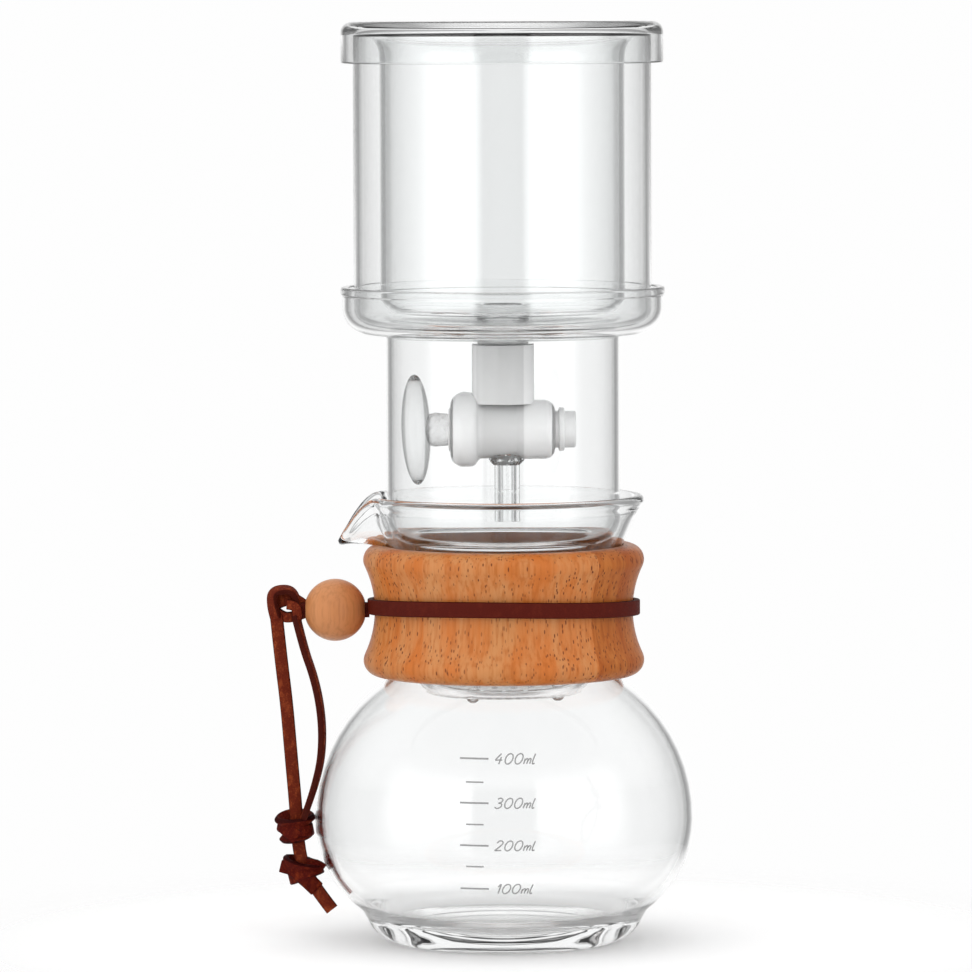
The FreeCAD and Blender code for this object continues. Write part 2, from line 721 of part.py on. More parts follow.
def make_perforated_plate():
    """Round floor of the filter cup with rings of holes."""
    body = new_body("perforated_plate", z=chamber_up - size.cup_depth)
    disc = circle_sketch(body, "plate_disc", "XY_Plane", [(0, 0, floor_radius)])
    push(body, disc, "plate_blank", "Pad", size.plate_thickness)
    middle = circle_sketch(body, "plate_middle_hole", "XY_Plane", [(0, 0, size.hole_radius)])
    push(body, middle, "plate_middle", "Pocket", size.plate_thickness, reverse=True)
    for ring, count in enumerate(HOLE_RING_COUNTS, start=1):
        out = size.hole_ring_step * ring
        hole = circle_sketch(body, f"plate_hole_{ring}", "XY_Plane", [(out, 0, size.hole_radius)])
        drilled = push(body, hole, f"plate_drill_{ring}", "Pocket", size.plate_thickness, reverse=True)
        repeat_around(body, drilled, f"plate_ring_{ring}", count)


def make_drip_nubs():
    """Four small drops of glass under the perforated floor."""
    body = new_body("drip_nubs", z=chamber_up - size.cup_depth, turn=NUB_START_ANGLE)
    outline = Outline()
    nub_circle = floor_radius - size.nub_margin - size.nub_radius
    outline.line(nub_circle, 0)
    outline.left_arc(nub_circle, -size.nub_radius, size.nub_radius)
    outline.line(nub_circle + size.nub_radius, 0)
    sketch = outline.draw(body, "nub_outline")
    drop = body.newObject("PartDesign::Revolution", "nub_drop")
    drop.Profile = sketch
    drop.ReferenceAxis = (sketch, ["Edge1"])
    drop.Angle = 360.0
    body.Tip = drop
    repeat_around(body, drop, "nub_ring", NUB_COUNT)


def make_filter_disc():
    """Fine round filter that lies on the perforated floor."""
    floor_top = chamber_up - size.cup_depth + size.plate_thickness
    body = new_body("filter_disc", z=floor_top + size.seat_gap)
    filter_radius = floor_radius + size.filter_margin
    disc = circle_sketch(body, "filter_outline", "XY_Plane", [(0, 0, filter_radius)])
    push(body, disc, "filter_pad", "Pad", size.filter_thickness)


def make_chamber_tube():
    """Straight glass tube between the shoulder and the dish."""
    body = new_body("chamber_tube", z=chamber_up + size.shoulder_curve)
    circles = [(0, 0, chamber_radius), (0, 0, chamber_inner_radius)]
    ring = circle_sketch(body, "tube_section", "XY_Plane", circles)
    push(body, ring, "tube_pull", "Pad", size.chamber_rise - size.shoulder_curve)


def make_seat_dish():
    """Dish on top of the chamber that the vessel stands in."""
    body = new_body("seat_dish", z=chamber_up + size.chamber_rise)
    inner = dish_radius - size.dish_wall
    bead_up = size.dish_depth - size.dish_bead
    bead_radius = dish_radius + size.dish_bead_out
    outline = Outline()
    outline.line(chamber_inner_radius, 0)
    outline.line(dish_radius, 0, size.dish_curve)
    outline.line(dish_radius, bead_up)
    outline.line(bead_radius, bead_up + size.dish_bead_out)
    outline.line(bead_radius, size.dish_depth, size.dish_bead / 4)
    outline.line(inner, size.dish_depth, size.dish_bead / 4)
    outline.line(inner, size.dish_wall, size.dish_curve - size.dish_wall)
    outline.line(chamber_inner_radius, size.dish_wall)
    spin(body, outline, "dish_turned")


# Radii and heights that the vessel's two shells share
jacket_radius = size.vessel_radius - size.vessel_wall
inner_shell_radius = jacket_radius - size.jacket_width
shell_seam_up = size.vessel_height - size.vessel_wall
flare_reach = size.jacket_width + size.flare_overlap
flare_centre_radius = inner_shell_radius + flare_reach
flare_centre_up = shell_seam_up - flare_reach
inner_floor_up = size.vessel_wall + size.jacket_floor


def make_vessel_outer_wall():
    """Outer shell of the water vessel, up to the seam below the rim."""
    body = new_body("vessel_outer_wall", z=vessel_up)
    outline = Outline()
    outline.line(size.outlet_radius, 0)
    outline.line(size.vessel_radius, 0, size.vessel_curve)
    outline.line(size.vessel_radius, shell_seam_up)
    outline.line(jacket_radius, shell_seam_up)
    outline.line(jacket_radius, size.vessel_wall, size.vessel_curve - size.vessel_wall)
    outline.line(size.outlet_radius, size.vessel_wall)
    spin(body, outline, "outer_shell_turned")


def make_vessel_inner_wall():
    """Inner shell of the water vessel, with the flare and the shared rim."""
    body = new_body("vessel_inner_wall", z=vessel_up)
    wall = size.vessel_wall
    outline = Outline()
    outline.line(outlet_bore, inner_floor_up)
    outline.line(inner_shell_radius, inner_floor_up, size.inner_curve)
    outline.right_arc(inner_shell_radius, flare_centre_up, flare_reach)
    outline.line(flare_centre_radius, shell_seam_up)
    outline.line(size.vessel_radius, shell_seam_up)
    outline.line(size.vessel_radius, size.vessel_height, size.vessel_rim_rounding)
    outline.left_arc(flare_centre_radius, size.vessel_height, flare_reach + wall)
    outline.line(inner_shell_radius - wall, flare_centre_up)
    outline.line(inner_shell_radius - wall, inner_floor_up + wall, size.inner_curve - wall)
    outline.line(outlet_bore, inner_floor_up + wall)
    spin(body, outline, "inner_shell_turned")


def make_vessel_outlet_cone():
    """Short tube that joins both floors and ends in the ground cone."""
    body = new_body("vessel_outlet_cone", z=vessel_up)
    outline = Outline()
    outline.line(outlet_bore, -size.outlet_drop)
    outline.line(size.outlet_radius - size.outlet_taper, -size.outlet_drop)
    outline.line(size.outlet_radius, 0)
    outline.line(size.outlet_radius, inner_floor_up)
    outline.line(outlet_bore, inner_floor_up)
    spin(body, outline, "outlet_turned")


def make_lid():
    """Glass cap whose skirt hangs over the vessel's rim."""
    body = new_body("lid", z=lid_up)
    inner = lid_radius - size.lid_wall
    skirt_up = size.lid_top_wall - size.lid_depth
    outline = Outline()
    outline.line(0, 0)
    outline.line(inner, 0, size.lid_curve - size.lid_wall)
    outline.line(inner, skirt_up, size.lid_skirt_rounding)
    outline.line(lid_radius, skirt_up, size.lid_skirt_rounding)
    outline.line(lid_radius, size.lid_top_wall, size.lid_curve)
    outline.line(0, size.lid_top_wall)
    spin(body, outline, "lid_turned")


def barrel_radius_at(out):
    """Give the barrel's outer radius between its flanges, at a distance along it."""
    span = size.barrel_left + size.barrel_right
    return size.barrel_radius - size.barrel_taper * (out + size.barrel_left) / span


def cut_barrel_saddle(body, name):
    """Cut the end of a tube to sit on the round barrel."""
    left = -(size.barrel_left - size.barrel_flange_width)
    right = size.barrel_right - size.barrel_end_width
    saddle = Outline()
    saddle.line(left, 0)
    saddle.line(right, 0)
    saddle.line(right, barrel_radius_at(right))
    saddle.line(left, barrel_radius_at(left))
    spin(body, saddle, name, "Groove", "H_Axis")


def make_valve_socket():
    """Frosted socket that slides over the ground outlet, fused on the barrel."""
    body = new_body("valve_socket", z=tap_up)
    # Height of the outlet's lower end and of the vessel's underside above the tap axis
    cone_end = size.tap_drop - size.outlet_drop
    mouth = size.outlet_radius + size.running_gap
    end = mouth - size.outlet_taper
    mouth_radius = end + size.outlet_taper * (socket_up - cone_end) / size.outlet_drop
    outline = Outline()
    outline.line(outlet_bore, 0)
    outline.line(socket_radius, 0)
    outline.line(socket_radius, socket_up, size.socket_rounding)
    outline.line(mouth_radius, socket_up)
    outline.line(end, cone_end)
    outline.line(end, cone_end - size.seat_gap)
    outline.line(outlet_bore, cone_end - size.seat_gap)
    spin(body, outline, "socket_turned")
    cut_barrel_saddle(body, "socket_saddle")


def plug_radius_at(out):
    """Give the plug's radius at a distance along the barrel."""
    span = size.barrel_left + size.barrel_right
    return size.plug_radius - size.plug_taper * (out + size.barrel_left) / span


def make_valve_barrel():
    """Frosted cross barrel with a wide flange on the handle's side."""
    body = new_body("valve_barrel", z=tap_up)
    gap = size.running_gap
    left = -size.barrel_left
    right = size.barrel_right
    flange_end = left + size.barrel_flange_width
    collar_start = right - size.barrel_end_width
    rounding = size.barrel_rounding
    outline = Outline()
    outline.line(left, plug_radius_at(left) + gap)
    outline.line(right, plug_radius_at(right) + gap)
    outline.line(right, size.barrel_end_radius, rounding / 2)
    outline.line(collar_start, size.barrel_end_radius, rounding / 4)
    outline.line(collar_start, barrel_radius_at(collar_start))
    outline.line(flange_end, barrel_radius_at(flange_end))
    outline.line(flange_end, size.barrel_flange_radius, rounding / 2)
    outline.line(left, size.barrel_flange_radius, rounding)
    spin(body, outline, "barrel_turned", axis="H_Axis")
    hole = circle_sketch(body, "barrel_water_hole", "XY_Plane", [(0, 0, size.water_hole_radius)])
    push(body, hole, "barrel_drilled", "Pocket", 2 * size.barrel_flange_radius, both_ways=True)


def make_drip_tube():
    """Clear tube under the barrel that the water drips from."""
    body = new_body("drip_tube", z=tap_up)
    circles = [(size.drip_shift, 0, size.drip_radius), (size.drip_shift, 0, size.drip_bore)]
    section = circle_sketch(body, "drip_section", "XY_Plane", circles)
    push(body, section, "drip_pull", "Pad", size.drip_drop, reverse=True)
    cut_barrel_saddle(body, "drip_saddle")


def make_valve_plug():
    """Ground plug with its stem, turning in the barrel, with the water hole through it."""
    body = new_body("valve_plug", z=tap_up)
    left = -size.barrel_left
    right = size.barrel_right
    end_radius = plug_radius_at(right)
    outline = Outline()
    outline.line(-stem_reach, 0)
    outline.line(plug_reach, 0)
    outline.line(plug_reach, end_radius)
    outline.line(right, end_radius)
    outline.line(left, size.plug_radius)
    outline.line(left, size.stem_radius)
    outline.line(-stem_reach, size.stem_radius)
    spin(body, outline, "plug_turned", axis="H_Axis")
    hole = circle_sketch(body, "plug_water_hole", "XY_Plane", [(0, 0, size.plug_hole_radius)])
    push(body, hole, "plug_drilled", "Pocket", 2 * size.plug_radius, both_ways=True)


def make_plug_handle():
    """Oval clear glass handle, fused on the plug's stem."""
    oval = doc.addObject("Part::Ellipsoid", "plug_handle")
    oval.setExpression("Radius1", size.handle_half_length.text)
    oval.setExpression("Radius2", size.handle_half_thickness.text)
    oval.setExpression("Radius3", size.handle_half_width.text)
    place(oval, x=-handle_out, z=tap_up)


def make_plug_retaining_ring():
    """Ring pushed on the plug's free end that keeps it in the barrel."""
    body = new_body("plug_retaining_ring", z=tap_up)
    inner = plug_radius_at(size.barrel_right)
    outline = Outline()
    outline.line(ring_start, inner)
    outline.line(ring_start + size.ring_width, inner)
    outline.line(ring_start + size.ring_width, size.ring_radius, size.ring_width / 4)
    outline.line(ring_start, size.ring_radius, size.ring_width / 4)
    spin(body, outline, "ring_turned", axis="H_Axis")


def make_lace_band():
    """Leather lace round the collar's waist, a little higher in front."""
    body = new_body("lace_band", z=collar_waist_up)
    body.Placement.Rotation = FreeCAD.Rotation(FreeCAD.Vector(-1, 0, 0), SIZES["band_tilt"][0])
    body.setExpression("Placement.Rotation.Angle", size.band_tilt.text)
    outline = Outline()
    half = size.band_width / 2
    rounding = size.band_thickness / 4
    outline.line(band_inner_radius, -half)
    outline.line(band_outer_radius, -half, rounding)
    outline.line(band_outer_radius, half, rounding)
    outline.line(band_inner_radius, half)
    spin(body, outline, "band_turned")


def make_lace_through_bead():
    """The lace's two ends, side by side, from the collar through the bead."""
    pair = doc.addObject("Part::Box", "lace_through_bead")
    start = band_outer_radius - size.band_thickness / 2
    end = bead_out + size.bead_radius + size.pair_reach
    pair.setExpression("Length", (end - start).text)
    pair.setExpression("Width", size.pair_thickness.text)
    pair.setExpression("Height", size.band_width.text)
    place(pair, x=-end, y=-size.pair_thickness / 2, z=collar_waist_up - size.band_width / 2)


def make_wooden_bead():
    """Turned wooden bead with a hole along the lace."""
    body = new_body("wooden_bead", x=-bead_out, z=collar_waist_up)
    radius = size.bead_radius
    hole = bead_hole_radius
    face = (radius * radius - hole * hole).root()
    outline = Outline()
    outline.line(-face, hole)
    outline.left_arc(face, hole, radius)
    spin(body, outline, "bead_turned", axis="H_Axis")


def make_bead_knot():
    """Curled knot that keeps the bead on the lace."""
    knot = doc.addObject("Part::Torus", "bead_knot")
    knot.setExpression("Radius1", (size.bead_knot_radius - size.bead_knot_lace).text)
    knot.setExpression("Radius2", size.bead_knot_lace.text)
    knot.Placement.Rotation = FreeCAD.Rotation(FreeCAD.Vector(1, 0, 0), 90)
    out = bead_out + size.bead_radius + size.pair_reach + size.bead_knot_radius
    place(knot, x=-out, z=collar_waist_up + size.bead_knot_rise)


def make_oval_knot(label, centre, half_width, half_depth, half_height):
    """A knot in the hanging lace, as an oval of its outer size."""
    knot = doc.addObject("Part::Ellipsoid", label)
    knot.setExpression("Radius1", half_height.text)
    knot.setExpression("Radius2", half_width.text)
    knot.setExpression("Radius3", half_depth.text)
    knot.Placement.Base = FreeCAD.Vector(*centre)


def make_slip_knot():
    """Knot that ties the short end round the long one."""
    half = (size.slip_knot_half_width, size.slip_knot_half_depth, size.slip_knot_half_height)
    make_oval_knot("slip_knot", SLIP_KNOT_CENTRE, *half)


def make_end_knot():
    """Knot just above the tip of the long end."""
    half = (size.end_knot_half_width, size.end_knot_half_depth, size.end_knot_half_height)
    make_oval_knot("end_knot", END_KNOT_CENTRE, *half)


def strand_path(points, report_name):
    """Give the wire of a hanging strand: straight runs joined by tangent arcs."""
    marks = [FreeCAD.Vector(*point) for point in points]
    edges = []
    radii = []
    start = marks[0]
    for before, here, after in zip(marks, marks[1:], marks[2:]):
        back = before - here
        ahead = after - here
        reach = STRAND_TURN_SHARE * min(back.Length, ahead.Length)
        turn = math.pi - back.getAngle(ahead)
        radius = reach / math.tan(turn / 2)
        radii.append(radius)
        bend_start = here + back.normalize() * reach
        bend_end = here + ahead.normalize() * reach
        centre = here + (back + ahead).normalize() * (radius / math.cos(turn / 2))
        middle = centre + (here - centre).normalize() * radius
        edges.append(Part.LineSegment(start, bend_start).toShape())
        edges.append(Part.Arc(bend_start, middle, bend_end).toShape())
        start = bend_end
    edges.append(Part.LineSegment(start, marks[-1]).toShape())
    print(f"{report_name} bend radii: {[round(radius, 1) for radius in radii]}")
    return Part.Wire(edges)


def make_strand(label, points, wide_axis):
    """A hanging lace end, swept along its route, with its width along wide_axis."""
    path = strand_path(points, label)
    width = size.strand_width.value
    thickness = size.strand_thickness.value
    start = FreeCAD.Vector(*points[0])
    along = (FreeCAD.Vector(*points[1]) - start).normalize()
    wide = (wide_axis - along * wide_axis.dot(along)).normalize()
    thin = along.cross(wide)
    corners = []
    for across, deep in ((-1, -1), (1, -1), (1, 1), (-1, 1), (-1, -1)):
        corners.append(start + wide * (across * width / 2) + thin * (deep * thickness / 2))
    section = Part.Wire(Part.makePolygon(corners).Edges)
    strand = doc.addObject("Part::Feature", label)
    strand.Shape = path.makePipeShell([section], True, False)
    print(
        f"{label}: volume {strand.Shape.Volume:.1f}, section times length "
        f"{width * thickness * path.Length:.1f}, length {path.Length:.1f}"
    )


def check_and_write(labels):
    """Check every object, then write each sub-part to its own file."""
    doc.recompute()
    for item in doc.Objects:
        if "Invalid" in item.State or "Error" in item.State:
            raise RuntimeError(f"{item.Name} is {item.State}")
    os.makedirs("parts", exist_ok=True)
    for label in labels:
        shape = doc.getObject(label).Shape
        if shape.isNull() or not shape.isValid() or not shape.Solids:
            raise RuntimeError(f"{label} has no valid solid")
        shape.exportStep(f"parts/{label}.step")
        box = shape.BoundBox
        print(
            f"{label}: {len(shape.Solids)} solids, {shape.Volume:.0f} mm3, "
            f"x {box.XMin:.2f} {box.XMax:.2f}, y {box.YMin:.2f} {box.YMax:.2f}, "
            f"z {box.ZMin:.2f} {box.ZMax:.2f}"
        )


def main():
    """Build every sub-part and write it."""
    make_carafe()
    make_collar_half("collar_half_rear", size.collar_split_angle)
    make_collar_half("collar_half_front", size.collar_split_angle + 180)
    make_filter_cup()
    make_perforated_plate()
    make_drip_nubs()
    make_filter_disc()
    make_chamber_tube()
    make_seat_dish()
    make_vessel_outer_wall()
    make_vessel_inner_wall()
    make_vessel_outlet_cone()
    make_lid()
    make_valve_socket()
    make_valve_barrel()
    make_drip_tube()
    make_valve_plug()
    make_plug_handle()
    make_plug_retaining_ring()
    make_lace_band()
    make_lace_through_bead()
    make_wooden_bead()
    make_bead_knot()
    make_slip_knot()
    make_end_knot()
    make_strand("lace_long", LONG_STRAND, FreeCAD.Vector(1, 0, 0))
    make_strand("lace_short", SHORT_STRAND, FreeCAD.Vector(0, 1, 0))
    check_and_write((
        "carafe", "collar_half_rear", "collar_half_front", "filter_cup", "perforated_plate",
        "drip_nubs", "filter_disc", "chamber_tube", "seat_dish", "vessel_outer_wall",
        "vessel_inner_wall", "vessel_outlet_cone", "lid", "valve_socket", "valve_barrel",
        "drip_tube", "valve_plug", "plug_handle", "plug_retaining_ring", "lace_band",
        "lace_through_bead", "wooden_bead", "bead_knot", "slip_knot", "end_knot",
        "lace_long", "lace_short",
    ))


main()
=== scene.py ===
"""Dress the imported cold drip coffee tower: glass, wood, leather, studio light and camera."""

import logging
import math
from dataclasses import dataclass
from enum import Enum
from typing import Callable, Iterable, Sequence

import bmesh
import bpy
import numpy as np
from mathutils import Euler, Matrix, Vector
from mathutils.geometry import delaunay_2d_cdt


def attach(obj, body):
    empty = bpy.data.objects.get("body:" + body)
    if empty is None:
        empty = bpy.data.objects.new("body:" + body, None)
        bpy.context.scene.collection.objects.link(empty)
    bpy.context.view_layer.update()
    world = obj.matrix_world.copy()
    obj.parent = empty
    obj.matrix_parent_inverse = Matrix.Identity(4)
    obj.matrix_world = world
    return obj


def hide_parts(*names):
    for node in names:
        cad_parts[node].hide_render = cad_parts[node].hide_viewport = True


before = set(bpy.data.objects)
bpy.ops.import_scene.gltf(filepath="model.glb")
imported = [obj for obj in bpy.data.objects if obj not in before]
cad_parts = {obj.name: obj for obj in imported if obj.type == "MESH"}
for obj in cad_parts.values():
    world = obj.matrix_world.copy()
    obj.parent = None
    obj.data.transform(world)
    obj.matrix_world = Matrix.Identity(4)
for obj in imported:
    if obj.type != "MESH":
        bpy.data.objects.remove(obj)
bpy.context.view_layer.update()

LOG = logging.getLogger("tower")
MM = 0.001
COLUMNS = 240
PLUG_COLUMNS = 120
SMALL_COLUMNS = 96
ARC_STEP = math.radians(6.0)
SHARP_EDGE = math.radians(38.0)
UPRIGHT = np.array((0.0, 0.0, 1.0))
FULL_TURN = 2.0 * math.pi

# How near the axis, in millimetres, an outline's end closes, and how near, in metres, vertices merge
ON_AXIS = 1e-6
SAME_PLACE = 0.5e-6
NO_LENGTH = 0.2e-6

Socket = bpy.types.NodeSocket


class Body(Enum):
    """The moving bodies of the tower, by their names in the frame."""

    CARAFE = "carafe_set"
    CHAMBER = "coffee_chamber"
    FILTER = "filter"
    VESSEL = "water_vessel"
    LID = "vessel_lid"
    TAP = "tap"
    PLUG = "tap_plug"


class Slot(Enum):
    """Names of material slots for the pieces made here; nothing in this script uses them."""

    CLEAR = "clear_glass"
    FROSTED = "frosted_glass"
    RING = "retaining_ring"
    MESH = "filter_mesh"
    BEAD = "bead_wood"
    BAND = "band_leather"
    LACE = "lace_leather"


class Axis(Enum):
    """The axis that an outline is turned about."""

    UP = "Z"
    ALONG = "X"


# Shader expressions


class Value:
    """A number that varies over a surface, with the usual arithmetic."""

    def __init__(self, recipe: "Recipe", socket: Socket) -> None:
        """Keep the socket and the recipe that it belongs to."""
        self.recipe = recipe
        self.socket = socket

    def combine(self, operation: str, first: "Value | float", second: "Value | float") -> "Value":
        """Add a Math node.

        Args:
            operation: The Math node's operation.
            first: Its first input.
            second: Its second input.

        Returns:
            The node's result.
        """
        made = self.recipe.node("ShaderNodeMath", {"operation": operation}, {0: first, 1: second})
        return Value(self.recipe, made.outputs[0])

    def __add__(self, other: "Value | float") -> "Value":
        """Add a value or a number."""
        return self.combine("ADD", self, other)

    def __radd__(self, other: float) -> "Value":
        """Be added to a number."""
        return self.combine("ADD", other, self)

    def __sub__(self, other: "Value | float") -> "Value":
        """Take a value or a number off."""
        return self.combine("SUBTRACT", self, other)

    def __rsub__(self, other: float) -> "Value":
        """Be taken off a number."""
        return self.combine("SUBTRACT", other, self)

    def __mul__(self, other: "Value | float") -> "Value":
        """Multiply by a value or a number."""
        return self.combine("MULTIPLY", self, other)

    def __rmul__(self, other: float) -> "Value":
        """Multiply a number."""
        return self.combine("MULTIPLY", other, self)

    def __truediv__(self, other: "Value | float") -> "Value":
        """Divide by a value or a number."""
        return self.combine("DIVIDE", self, other)

    def __pow__(self, other: float) -> "Value":
        """Raise to a power."""
        return self.combine("POWER", self, other)

    def cosine(self) -> "Value":
        """Take the cosine."""
        return self.combine("COSINE", self, 0.0)

    def angle_to(self, other: "Value") -> "Value":
        """Give the direction of the point (other, self), in radians."""
        return self.combine("ARCTAN2", self, other)

    def step(self, low: float, high: float) -> "Value":
        """Rise smoothly from 0 to 1.

        Args:
            low: Where the rise starts.
            high: Where it ends; below low for a fall.

        Returns:
            The smooth step.
        """
        settings = {"interpolation_type": "SMOOTHSTEP"}
        sockets = {"Value": self, "From Min": low, "From Max": high}
        made = self.recipe.node("ShaderNodeMapRange", settings, sockets)
        return Value(self.recipe, made.outputs["Result"])


class Recipe:
    """A node tree that is filled by expressions and plain nodes."""

    def __init__(self, tree: bpy.types.NodeTree) -> None:
        """Empty the tree and start again."""
        self.tree = tree
        tree.nodes.clear()

    def node(
        self, kind: str, settings: dict[str, object], sockets: dict[str | int, object]
    ) -> bpy.types.Node:
        """Add a node.

        Args:
            kind: The node's type name.
            settings: Its own settings, which are set first.
            sockets: What its inputs hold or are linked to.

        Returns:
            The node.
        """
        made = self.tree.nodes.new(kind)
        for name, setting in settings.items():
            setattr(made, name, setting)
        for name, held in sockets.items():
            if isinstance(held, Value):
                self.tree.links.new(held.socket, made.inputs[name])
            elif isinstance(held, Socket):
                self.tree.links.new(held, made.inputs[name])
            else:
                made.inputs[name].default_value = held
        return made

    def value(self, made: bpy.types.Node, output: str | int = 0) -> Value:
        """Read an output of a node as a value."""
        return Value(self, made.outputs[output])

    def place(self, stretch: Sequence[float], shift: Sequence[float] = (0.0, 0.0, 0.0)) -> Socket:
        """Give the point of the object, scaled and shifted.

        Args:
            stretch: How many units of texture one metre takes, along X, Y and Z.
            shift: What is added afterwards.

        Returns:
            The vector to read textures at.
        """
        where = self.node("ShaderNodeTexCoord", {}, {}).outputs["Object"]
        sockets = {0: where, 1: tuple(stretch), 2: tuple(shift)}
        return self.node("ShaderNodeVectorMath", {"operation": "MULTIPLY_ADD"}, sockets).outputs[0]

    def position(self, scale: float) -> tuple[Value, Value, Value]:
        """Give the point of the object as three values, in metres times a scale."""
        parts = self.node("ShaderNodeSeparateXYZ", {}, {0: self.place((scale,) * 3)})
        return self.value(parts, "X"), self.value(parts, "Y"), self.value(parts, "Z")

    def noise(self, at: Socket, scale: float = 1.0, detail: float = 2.0, roughness: float = 0.5) -> Value:
        """Read smooth noise between 0 and 1 at a point."""
        sockets = {"Vector": at, "Scale": scale, "Detail": detail, "Roughness": roughness}
        return self.value(self.node("ShaderNodeTexNoise", {}, sockets), "Fac")

    def blend(self, share: Value | float, first: object, second: object) -> Socket:
        """Mix two colours by a share."""
        settings = {"data_type": "RGBA", "blend_type": "MIX"}
        made = self.node("ShaderNodeMix", settings, {0: share, 6: first, 7: second})
        return made.outputs[2]

    def bump(self, height: Value, depth: float) -> Socket:
        """Turn a height between 0 and 1 into a normal, with its depth in metres."""
        made = self.node("ShaderNodeBump", {}, {"Height": height, "Distance": depth, "Strength": 1.0})
        return made.outputs["Normal"]


def new_material(name: str) -> tuple[bpy.types.Material, Recipe]:
    """Start a material with an empty node tree."""
    material = bpy.data.materials.new(name)
    material.use_nodes = True
    return material, Recipe(material.node_tree)


def finish_material(recipe: Recipe, surface: dict[str | int, object]) -> None:
    """Close a recipe with one principled shader."""
    shader = recipe.node("ShaderNodeBsdfPrincipled", {}, surface)
    recipe.node("ShaderNodeOutputMaterial", {}, {"Surface": shader.outputs[0]})


def rgba(colour: Sequence[float]) -> tuple[float, float, float, float]:
    """Give a colour its full alpha."""
    return (colour[0], colour[1], colour[2], 1.0)


# Finishes


@dataclass(frozen=True)
class ClearGlass:
    """Fire-polished borosilicate glass with the faint waves of blown glass."""

    name: str = "clear_borosilicate"
    tint: tuple[float, float, float] = (0.99, 0.995, 0.995)
    refraction: float = 1.47
    wave_scale: tuple[float, float, float] = (40.0, 40.0, 25.0)
    wave_depth: float = 0.00001

    def make(self) -> bpy.types.Material:
        """Build the material."""
        material, recipe = new_material(self.name)
        waves = recipe.noise(recipe.place(self.wave_scale), detail=1.0)
        finish_material(recipe, {
            "Base Color": rgba(self.tint),
            "Roughness": 0.0,
            "IOR": self.refraction,
            "Transmission Weight": 1.0,
            "Normal": recipe.bump(waves, self.wave_depth),
        })
        return material


@dataclass(frozen=True)
class PressedGlass:
    """The solid oval handle: clear in the middle, with grey shade painted round its edge in place of the dark
    rim that refraction gives; sizes in millimetres.
    """

    middle: tuple[float, float]
    half: tuple[float, float]
    lean: float
    name: str = "pressed_borosilicate"
    tint: tuple[float, float, float] = (0.97, 0.975, 0.975)
    # Grey of the painted shade round the oval's rim, and how strongly it is laid on over the body and at the
    # rim
    edge: tuple[float, float, float] = (0.3, 0.3, 0.3)
    painted_body_shade: float = 0.3
    painted_edge_shade: float = 0.5
    roughness: float = 0.02
    refraction: float = 1.4

    def make(self) -> bpy.types.Material:
        """Build the material."""
        material, recipe = new_material(self.name)
        thick, tall = self.half
        along, _, up = recipe.position(1.0 / MM)
        high = up - self.middle[1]
        across = (along - self.middle[0] + high * math.tan(self.lean)) / thick
        out = (across * across + (high / tall) * (high / tall)) ** 0.5
        # Painted shade: greyer towards the rim of the oval, by the point's place in the object
        shade = out.step(0.2, 1.0) * self.painted_body_shade + out.step(0.8, 1.0) * self.painted_edge_shade
        finish_material(recipe, {
            "Base Color": recipe.blend(shade, rgba(self.tint), rgba(self.edge)),
            "Roughness": self.roughness,
            "IOR": self.refraction,
            "Transmission Weight": 1.0,
        })
        return material


@dataclass(frozen=True)
class FrostedGlass:
    """Ground glass: white and glossy, with a fine grain; a band across the tap's bore is painted greyer, as
    painted shade.
    """

    name: str = "frosted_borosilicate"
    tint: tuple[float, float, float] = (0.985, 0.985, 0.985)
    # Grey that the random cloudy tone and the painted shade in front of the bore blend towards
    grey: tuple[float, float, float] = (0.25, 0.25, 0.25)
    refraction: float = 1.3
    roughness: float = 0.39
    transmission: float = 0.04
    grain_scale: float = 2600.0
    grain_depth: float = 0.000012
    cloud_scale: float = 260.0
    cloud_shade: float = 0.03
    # Where along X, in millimetres, the painted shade in front of the tap's bore lies, how dark it is and how
    # soft its sides are
    core: tuple[float, float] = (-7.5, 5.8)
    painted_core_shade: float = 0.2
    core_blur: float = 0.2
    coat: float = 0.7
    coat_roughness: float = 0.06

    def make(self) -> bpy.types.Material:
        """Build the material."""
        material, recipe = new_material(self.name)
        grain = recipe.noise(recipe.place((self.grain_scale,) * 3), detail=2.0)
        cloud = recipe.noise(recipe.place((self.cloud_scale,) * 3), detail=3.0)
        across, _, _ = recipe.position(1.0 / MM)
        (low, high), blur = self.core, self.core_blur
        # Painted shade: a greyer band across the middle of the tap, where the bore lies, plus random cloudy
        # tone
        inside = across.step(low - blur, low + blur) * across.step(high + blur, high - blur)
        shade = cloud.step(0.3, 0.7) * self.cloud_shade + inside * self.painted_core_shade
        finish_material(recipe, {
            "Base Color": recipe.blend(shade, rgba(self.tint), rgba(self.grey)),
            "Roughness": cloud * 0.12 + self.roughness,
            "IOR": self.refraction,
            "Coat Weight": self.coat,
            "Coat Roughness": self.coat_roughness,
            "Transmission Weight": self.transmission,
            "Normal": recipe.bump(grain, self.grain_depth),
        })
        return material


@dataclass(frozen=True)
class CrazedGlass:
    """Glass with a crackled surface, where the plug's stem was melted to its handle."""

    name: str = "crazed_borosilicate"
    tint: tuple[float, float, float] = (0.97, 0.97, 0.97)
    roughness: float = 0.12
    refraction: float = 1.35
    transmission: float = 0.72
    crack_scale: float = 850.0
    crack_depth: float = 0.0004

    def make(self) -> bpy.types.Material:
        """Build the material."""
        material, recipe = new_material(self.name)
        at = recipe.place((self.crack_scale,) * 3)
        cells = recipe.node("ShaderNodeTexVoronoi", {"feature": "SMOOTH_F1"}, {"Vector": at, "Scale": 1.0})
        height = recipe.value(cells, "Distance") + recipe.noise(at, scale=2.0, detail=2.0) * 0.5
        finish_material(recipe, {
            "Base Color": rgba(self.tint),
            "Roughness": self.roughness,
            "IOR": self.refraction,
            "Transmission Weight": self.transmission,
            "Normal": recipe.bump(height, self.crack_depth),
        })
        return material


